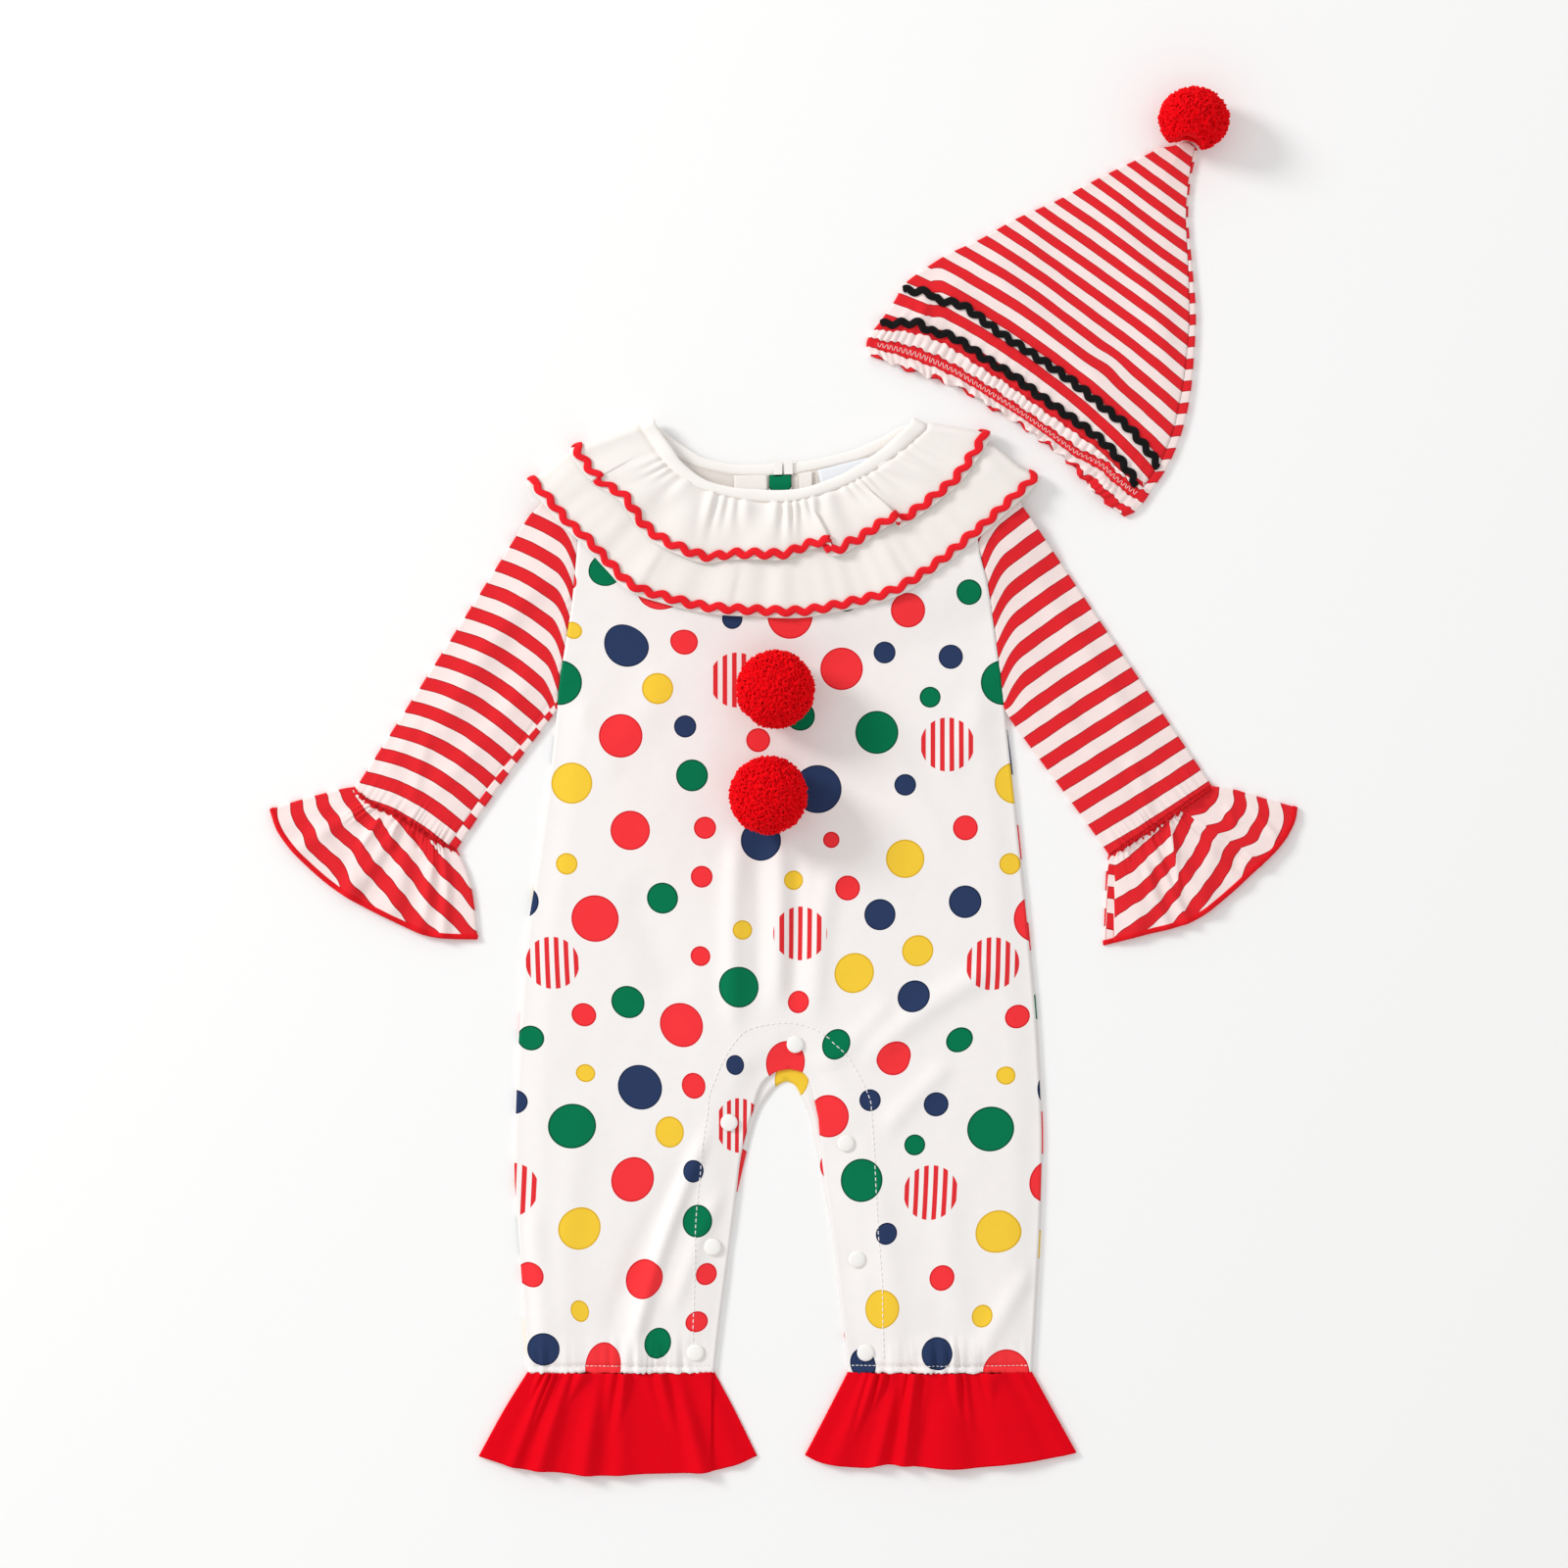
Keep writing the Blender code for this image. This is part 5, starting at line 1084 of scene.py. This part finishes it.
upper = Band((NECK_FRONT, UPPER_HEM), (NECK_BACK, UPPER_HEM_BACK), lambda x, y: front_height(x, y) + 2.4 * LAYER,
             lambda x, y, v: LOW_TIER + 0 * x, upper_shape)
lower = Band((NECK_FRONT, LOWER_HEM), (NECK_BACK, LOWER_HEM_BACK), lambda x, y: front_height(x, y) + 1.1 * LAYER,
             lower_low_tier, lower_shape, arch=ARCH_RISE)
SEAM_TUCK = 0.03  # how far a tier reaches in under the binding, as a share of its depth
for name, band, columns, end in (("upper", upper, 372, 1.12), ("lower", lower, 276, 1.065)):
    # columns of this grid go down, so it is turned to keep the fronts up
    grid = band.at(around(columns)[:, None], (end + SEAM_TUCK) * steps(34) - SEAM_TUCK).transpose(1, 0, 2)
    cloth(f"collar_{name}_ruffle", grid, VOILE, "collar_" + name)

# %% [markdown]
# ## Ric rac
# Ric rac is a narrow braid woven so that it zigzags. Both its edges follow the same wave, so its middle is a
# wave and its width stays the same. It is a flat strip here with a slightly raised middle, and follows a path
# that each place gives: round the hem of a collar tier, or across the hat.

# %% Ric rac
BRAID_WIDTH, BRAID_WALL, BRAID_LIFT = 4.1, 0.7, 0.85  # its width and wall, and how far it stands off the cloth
PER_WAVE, ACROSS = 14, 7  # points along a wave and across the braid


def ricrac(name, place, length, pitch, swing, material):
    """place(s, side, lift) gives points at s (0 to 1), side to the left of the path and lift above it. The
    middle is a sine with a wave each pitch mm, and the edges are half a width off it, square to its slope."""
    waves = round(length / pitch)
    s = steps(waves * PER_WAVE + 1)[:, None]
    across = np.linspace(1, -1, ACROSS) * BRAID_WIDTH / 2
    middle = swing * np.sin(2 * np.pi * s * waves)
    slope = swing * 2 * np.pi * waves / length * np.cos(2 * np.pi * s * waves)
    square = np.sqrt(1 + slope**2)
    dome = 0.6 * np.sqrt(1 - 0.9 * (2 * across / BRAID_WIDTH) ** 2) + BRAID_LIFT
    grid = place(np.clip(s - across * slope / square / length, 0, 1), middle + across / square, dome + 0 * s)
    return cloth(name + "_braid", grid, material, name, wall=BRAID_WALL)


def on_band(band, proud=0.45):
    """Along the band's outer edge. Over the front the braid stands proud mm more."""
    t = np.linspace(0, 5, 1500)
    far = np.concatenate([[0], np.cumsum(np.linalg.norm(np.diff(band.at(t, 1.0), axis=0), axis=1))])

    def place(s, side, lift):
        turn = np.interp(s, far / far[-1], t) + 0 * side
        width = np.linalg.norm(band.at(turn, 1.0) - band.at(turn, 0.0), axis=-1)
        rise = proud * (smooth(4 * (turn - 1)) - smooth(4 * (turn - 3.75)))
        return band.lifted(turn, 1 + side / width, lift + rise)

    return place, far[-1]


def on_hat(path):
    def place(s, side, lift):
        s = s + 0 * side
        way = unit(curve(path, np.minimum(s + 0.01, 1)) - curve(path, np.maximum(s - 0.01, 0)))
        xy = curve(path, s) + side[..., None] * np.stack([-way[..., 1], way[..., 0]], axis=-1)
        return raised(xy, lambda x, y: hat_top(x, y) + lift)

    return place, length_of(path)


braids = {name: ricrac("ricrac_" + name, *on_band(band), 11.1, swing, RED_BRAID)
          for name, band, swing in (("upper", upper, 1.45), ("lower", lower, 1.2))}
for number, path in HAT_RICRAC.items():
    braids[number] = ricrac(f"hat_ricrac_{number}", *on_hat(path), 9.4, 1.2, BLACK_BRAID)
print("ric rac:", faces_of(*braids.values()))

# %% [markdown]
# ## The neck
# A strip of the ivory cotton is folded round the raw edge of the neck and stitched down. Folded, it is a
# rounded bar, so its section is a flat oval, carried along the same kind of band as the collar. In the
# opening of the neck the inside of the back shows: a strip of the print that laps under the slit, the slit's
# facing, the binding's two ends, folded over beside the slit, and a label of tape, which stays bare.

# %% The binding, underlap and label
BAR = 2.05  # half the binding's thickness over the front's layers
bind = Band((NECK_FRONT, FREE_FRONT), (NECK_BACK, FREE_BACK), lambda x, y: front_height(x, y) + 2.7,
            lambda x, y, v: under(x, y) - 0.7)


def oval_bar(band, t):
    """Rings of a bar round the band's middle: v = middle + cos a / 2, lift = thick sin a, flattened. It is
    thick on top of the front's layers, and thinner on the back."""
    a = angles(16)
    in_front = smooth((t[:, None] - 1.6) / 0.4) * smooth((3.4 - t[:, None]) / 0.4)
    lift = BAR * (0.62 + 0.38 * in_front) * np.sign(np.sin(a)) * np.abs(np.sin(a)) ** 0.5
    return band.lifted(t[:, None], 0.505 + 0.5 * np.cos(a), lift)[None]


binding = tubes("neck_binding_bar", oval_bar(bind, around(160, 40)), BINDING, "neck_binding")


BIT_POINTS, BIT_WALL = 14, 0.5  # points along each side of a small piece, and its wall


def flat_piece(name, corners, material, stands_for="", uv=None, slot=None):
    """A small four-cornered piece that lies on the back, inside the neck."""
    a, b, c, d = (np.array(p, float) for p in corners)
    u, v = steps(BIT_POINTS)[:, None, None], steps(BIT_POINTS)[None, :, None]
    xy = (1 - u) * ((1 - v) * a + v * d) + u * ((1 - v) * b + v * c)
    grid = raised(xy, lambda x, y: under(x, y) + LAYER)
    return cloth(name, grid, material, stands_for, uv, wall=BIT_WALL, slot=slot)


label = flat_piece("label_tape", [(19.5, 182.4), (23.5, 163), (54, 169.5), (50, 190.2)], TAPE, "label")
neck_bits = [flat_piece(*bit) for bit in (
    ("slit_facing_left", [(-29, 179.4), (-29, 165), (-9.6, 165), (-9.6, 179.5)], VOILE),
    ("slit_facing_right", [(8.8, 180.6), (8.8, 165), (16.4, 166), (16.4, 182)], VOILE),
    ("binding_end_left", [(-6, 187.2), (-6, 178.8), (-1, 178.9), (-1, 187.3)], BINDING),
    ("binding_end_right", [(0.2, 187.6), (0.2, 179.2), (5.2, 179.8), (5.2, 188.2)], BINDING))]
LAP_SHIFT = (109.8, -64.5)  # the strip is cut from another place on the printed cloth
lap_xy = np.meshgrid(np.linspace(-8.6, 4.3, BIT_POINTS), np.linspace(179.8, 108, BIT_POINTS))
lap_uv = (np.stack(lap_xy, axis=-1) + LAP_SHIFT) * MM
lap = flat_piece("underlap_strip", [(-8.6, 179.6), (-8.6, 108), (4.3, 108), (4.3, 180)], DOTTED, "underlap", lap_uv,
                 "cloth_green")
print("in the neck:", faces_of(binding, label, lap, *neck_bits))

# %% [markdown]
# ## Sewing
# A line of machine stitches shows as short dashes of thread, each pulled into the cloth at both ends. Painting
# them into the material would do at a distance. As small capsules they also catch the light, and follow the
# cloth's own height, so a line dips where the cloth puckers.

# %% Stitches
def stitches(name, start, end, radius):
    """Capsules from start to end: six-sided rings, nearly full size but for the two ends."""
    way = end - start
    side = unit(np.cross(way, (0, 0, 1.0)))
    along, size = (np.array(values)[:, None, None] for values in ((0, 0.12, 0.88, 1), (0.3, 1, 1, 0.3)))
    rings = start[:, None, None] + along * way[:, None, None] + radius * size * rounds(
        side, unit(np.cross(side, way)), 6)[:, None]
    return tubes(name, rings, THREAD)


def sewn(name, paths, place, pitch, dash, radius=0.3):
    """Dashes along paths, one each pitch mm and dash mm long. place(points of a path) puts them in space."""
    ends = []
    for path in paths:
        count = max(int(length_of(path) / pitch), 1)
        middle, reach = (np.arange(count) + 0.5) / count, dash / pitch / count / 2
        ends.append([place(curve(path, middle - reach)), place(curve(path, middle + reach))])
    return stitches(name, *np.concatenate(ends, axis=1), radius)


def on_front(xy):
    return raised(xy, lambda x, y: front_height(x, y) + WALL / 2 + 0.12)


def on_binding(lift):
    return lambda tv: bind.lifted(tv[..., 0], tv[..., 1], np.full(len(tv), lift))


FACINGS = [[(-37, -164), (-43.5, -181), (-44.5, -191.5), (-48, -214), (-48.5, -225), (-50, -238), (-51.5, -260.5),
            (-52.5, -302), (-53.5, -335)],
           [(27.5, -149.5), (38, -160), (49.5, -182), (51, -194), (53, -223.5), (54.5, -256), (57, -289.5),
            (57.5, -312), (58, -335)],
           [(-37.5, -164.5), (-29.5, -151), (-20, -142.5), (1.5, -139), (17, -142.5), (27, -148.5)]]
LEG_HEMS = [[(-147, -338.5), (-95, -338.8), (-43, -338.5)], [(39, -338.5), (91, -338.8), (142, -338.5)]]
# Round the binding, as (t, v): on the front at its seam, and on the back, where its inner face shows
NECK_SEAM = [[(2.03, 0.17), (2.5, 0.17), (2.97, 0.17)]]
NECK_BACK_SEAM = [[(0.03, 0.14), (0.5, 0.14), (0.94, 0.14)], [(4.06, 0.14), (4.5, 0.14), (4.97, 0.14)]]
seams = [sewn("inseam_facing_stitches", FACINGS, on_front, 3.4, 2.3),
         sewn("leg_hem_stitches", LEG_HEMS, on_front, 2.4, 1.7),
         sewn("neck_stitches_front", NECK_SEAM, on_binding(1.85), 0.011, 0.0075, 0.2),
         sewn("neck_stitches_back", NECK_BACK_SEAM, on_binding(-0.9), 0.028, 0.018, 0.25)]


def across_casing(share, side):
    """On the hat's band: share of the way along it, and mm to the hem's side of the casing's middle."""
    row = (0.535 - drift(share) + side / 17) * (BAND_LINES - 1)
    low, column = np.floor(row).astype(int), np.round(share * (BAND_COLUMNS - 1)).astype(int)
    point = band_grid[low, column] + (row - low)[:, None] * (band_grid[low + 1, column] - band_grid[low, column])
    return point + np.array([0, 0, 0.5])


CASING_STITCHES = 124
share, lean = np.linspace(0.03, 0.97, CASING_STITCHES), 0.0022 * (-1) ** np.arange(CASING_STITCHES)
seams.append(stitches("hat_casing_stitches", across_casing(share - lean, -1.1), across_casing(share + lean, 1.1),
                      0.17))
print("stitches:", sum(faces_of(*seams)))

# %% [markdown]
# ## Snap caps
# A snap's cap is a shallow moulded dome, 10 mm across, with a softly rounded rim. It is a turned shape: one
# profile, carried round its axis.

# %% Snaps
def turned(profile, sides):
    """Rings of a profile of (radius, height) turned about the vertical axis: (ring, point, xyz)."""
    profile, a = np.array(profile, float), angles(sides)
    return np.stack([profile[:, :1] * np.cos(a), profile[:, :1] * np.sin(a), profile[:, 1:] + 0 * a], axis=-1)


CAP = [(4.2, 0), (4.9, 0.25), (5.0, 0.7), (4.85, 1.1), (4.4, 1.5), (3.6, 1.8), (3.2, 1.82), (2.6, 1.95),
       (1.6, 2.05), (0.6, 2.1)]
x, y = np.array(SNAPS, float).T
z = front_height(x, y) + CLOTH / 2 + 0.3
snaps = tubes("snap_caps", turned(CAP, 28) + np.stack([x, y, z], axis=-1)[:, None, None], RESIN,
              " ".join(f"snap_{number}" for number in range(1, 8)))
print("snaps:", faces_of(snaps))

# %% [markdown]
# ## Pompoms
# A pompom is thousands of ends of yarn, tied in the middle and trimmed to a ball. Only the outermost few
# millimetres show, as small curls that point every way. So a ball carries a coat of curls: each is a short
# bent tube with only 18 faces, set at a point of a Fibonacci spiral, which spreads points evenly over a ball,
# and turned by a seeded draw.

# %% Curls of yarn
CURLS, TUFTS = 2400, 64
CORE_DEPTH, ROOT_DEPTH = 2.8, 3.2  # how far the core's surface and the curls' roots lie under the ball's


def scattered(count, spread, draw):
    """Directions of a Fibonacci spiral, each moved a little: heights in even steps, and each turn the golden
    angle on from the last."""
    k = np.arange(count) + 0.5
    z, turn = 1 - 2 * k / count, k * np.pi * (3 - 5**0.5)
    r = np.sqrt(1 - z * z)
    return unit(np.stack([r * np.cos(turn), r * np.sin(turn), z], axis=-1) + draw.normal(0, spread, (count, 3)))


def past_line(points, line, gap):
    """How far each point is below the line raised by gap, faded out over gap beyond its two ends."""
    x, y = points[..., 0], points[..., 1]
    inside = smooth((x - line[0, 0] + gap) / gap) * smooth((line[-1, 0] + gap - x) / gap)
    return inside * np.maximum(np.interp(x, line[:, 0], line[:, 1]) + gap - y, 0)


def pompom(name, centre, half_size, seed, tip=None):
    """Curls on an ellipsoid, cut off at its surface. Each is half an ellipse, long along a random tangent and
    tall outwards. They lie deeper between the tufts, and tip, a line (x, y), is where cloth dents the ball."""
    draw = np.random.default_rng(seed)
    half_size = np.array(half_size, float)
    out, tufts = scattered(CURLS, 0.03, draw), scattered(TUFTS, 0.1, draw)
    between = smooth((0.985 - (out @ tufts.T).max(axis=1, keepdims=True)) / 0.035)
    side = unit(np.cross(out, draw.normal(0, 1, (CURLS, 3))))
    lean = unit(out + draw.normal(0, 0.35, (CURLS, 3)))
    reach, rise = draw.uniform(1.1, 2.0, CURLS), draw.uniform(1.8, 3.4, CURLS)
    root = out * (half_size - ROOT_DEPTH - draw.uniform(0, 0.7, (CURLS, 1)) - 1.1 * between)
    angle = np.linspace(-0.2, np.pi + 0.2, 5)[None, :, None]
    path = root[:, None] + (reach[:, None] * side)[:, None] * np.cos(angle) + (
        rise[:, None] * lean)[:, None] * np.sin(angle)
    way = unit(np.gradient(path, axis=1))
    third = unit(np.cross(way, np.cross(side, lean)[:, None]))
    rings = path[:, :, None] + draw.uniform(0.5, 0.75, (CURLS, 1, 1, 1)) * rounds(third, np.cross(way, third), 4)
    rings = rings / np.maximum(np.linalg.norm(rings / half_size, axis=-1, keepdims=True), 1) + centre
    core = turned([(math.sin(p), -math.cos(p)) for p in np.linspace(0.02, math.pi - 0.02, 24)], 40)
    core = core * (half_size - CORE_DEPTH) + centre
    if tip:  # curls that come over the cloth are pushed off its edge, and left out where that is too far
        line = np.array(tip)
        short = past_line(rings, line, 0.4).max(axis=(1, 2))
        rings[..., 1] += short[:, None, None]
        rings = rings[short < 3.5]
        core[..., 1] += past_line(core, line, 2.2)
    return tubes(name + "_core", core[None], YARN), tubes(name + "_curls", rings, YARN, name)


balls = []
for number, (name, (x, y), size, tip) in enumerate((
        ("pompom_top", (-5, 54.5), (23.4, 23.4, 20.5), None), ("pompom_bottom", (-9, -6.5), (23.4, 23.4, 20.5), None),
        ("hat_pompom", (237, 384.5), (21.2, 19.2, 17.5), HAT_TIP))):
    # A ball rests on the table beside the hat's tip, or on the front
    rest = 0.3 if tip else float(front_base(np.array(x), np.array(y))) + 0.9
    balls += pompom(name, (x, y, rest + size[2]), size, 50 + number, tip)
print("pompoms:", faces_of(*balls))

# %% [markdown]
# ## The table and the light
# The costume lies on a pale table under a soft light from the upper left, as a shop would set it out, with
# enough light from all round that the shadows stay pale.

# %% Table, lights and camera
def placed(name, data):
    made = bpy.data.objects.new(name, data)
    bpy.context.scene.collection.objects.link(made)
    return made


table = bpy.data.meshes.new("table")
table.from_pydata([(-4, -4, 0), (4, -4, 0), (4, 4, 0), (-4, 4, 0)], [], [(0, 1, 2, 3)])
# Matt and nearly white, so that it takes soft shadows and gives no glare
table.materials.append(finished("matt white table top", "", "FBFBFB", sheen=0.0, depth=0.0, grain=0.0))
floor = placed("table", table)

# An even light from all round, nearly white, and one large lamp at the upper left
world = bpy.data.worlds.new("studio")
bpy.context.scene.world = world
world.use_nodes = True
world.node_tree.nodes["Background"].inputs[0].default_value = (1, 0.995, 0.99, 1)
world.node_tree.nodes["Background"].inputs[1].default_value = 0.75

light = bpy.data.lights.new("key", "AREA")
light.shape, light.size, light.energy = "DISK", 1.2, 80
key = placed("key", light)
key.location = away = (-3.0, 1.7, 2.0)  # it looks back at the origin
key.rotation_euler = (math.acos(away[2] / math.hypot(*away)), 0, math.atan2(away[0], -away[1]))

# It looks straight down from 2.16 m, where the lens just holds the whole set
camera = placed("camera", bpy.data.cameras.new("camera"))
camera.data.sensor_width, camera.data.lens = 36, 85
camera.location = (0, 0, 2.158)
bpy.context.scene.camera = camera
bpy.context.scene.view_settings.view_transform = "Standard"
print("camera height:", round(camera.location[2], 3), "m")
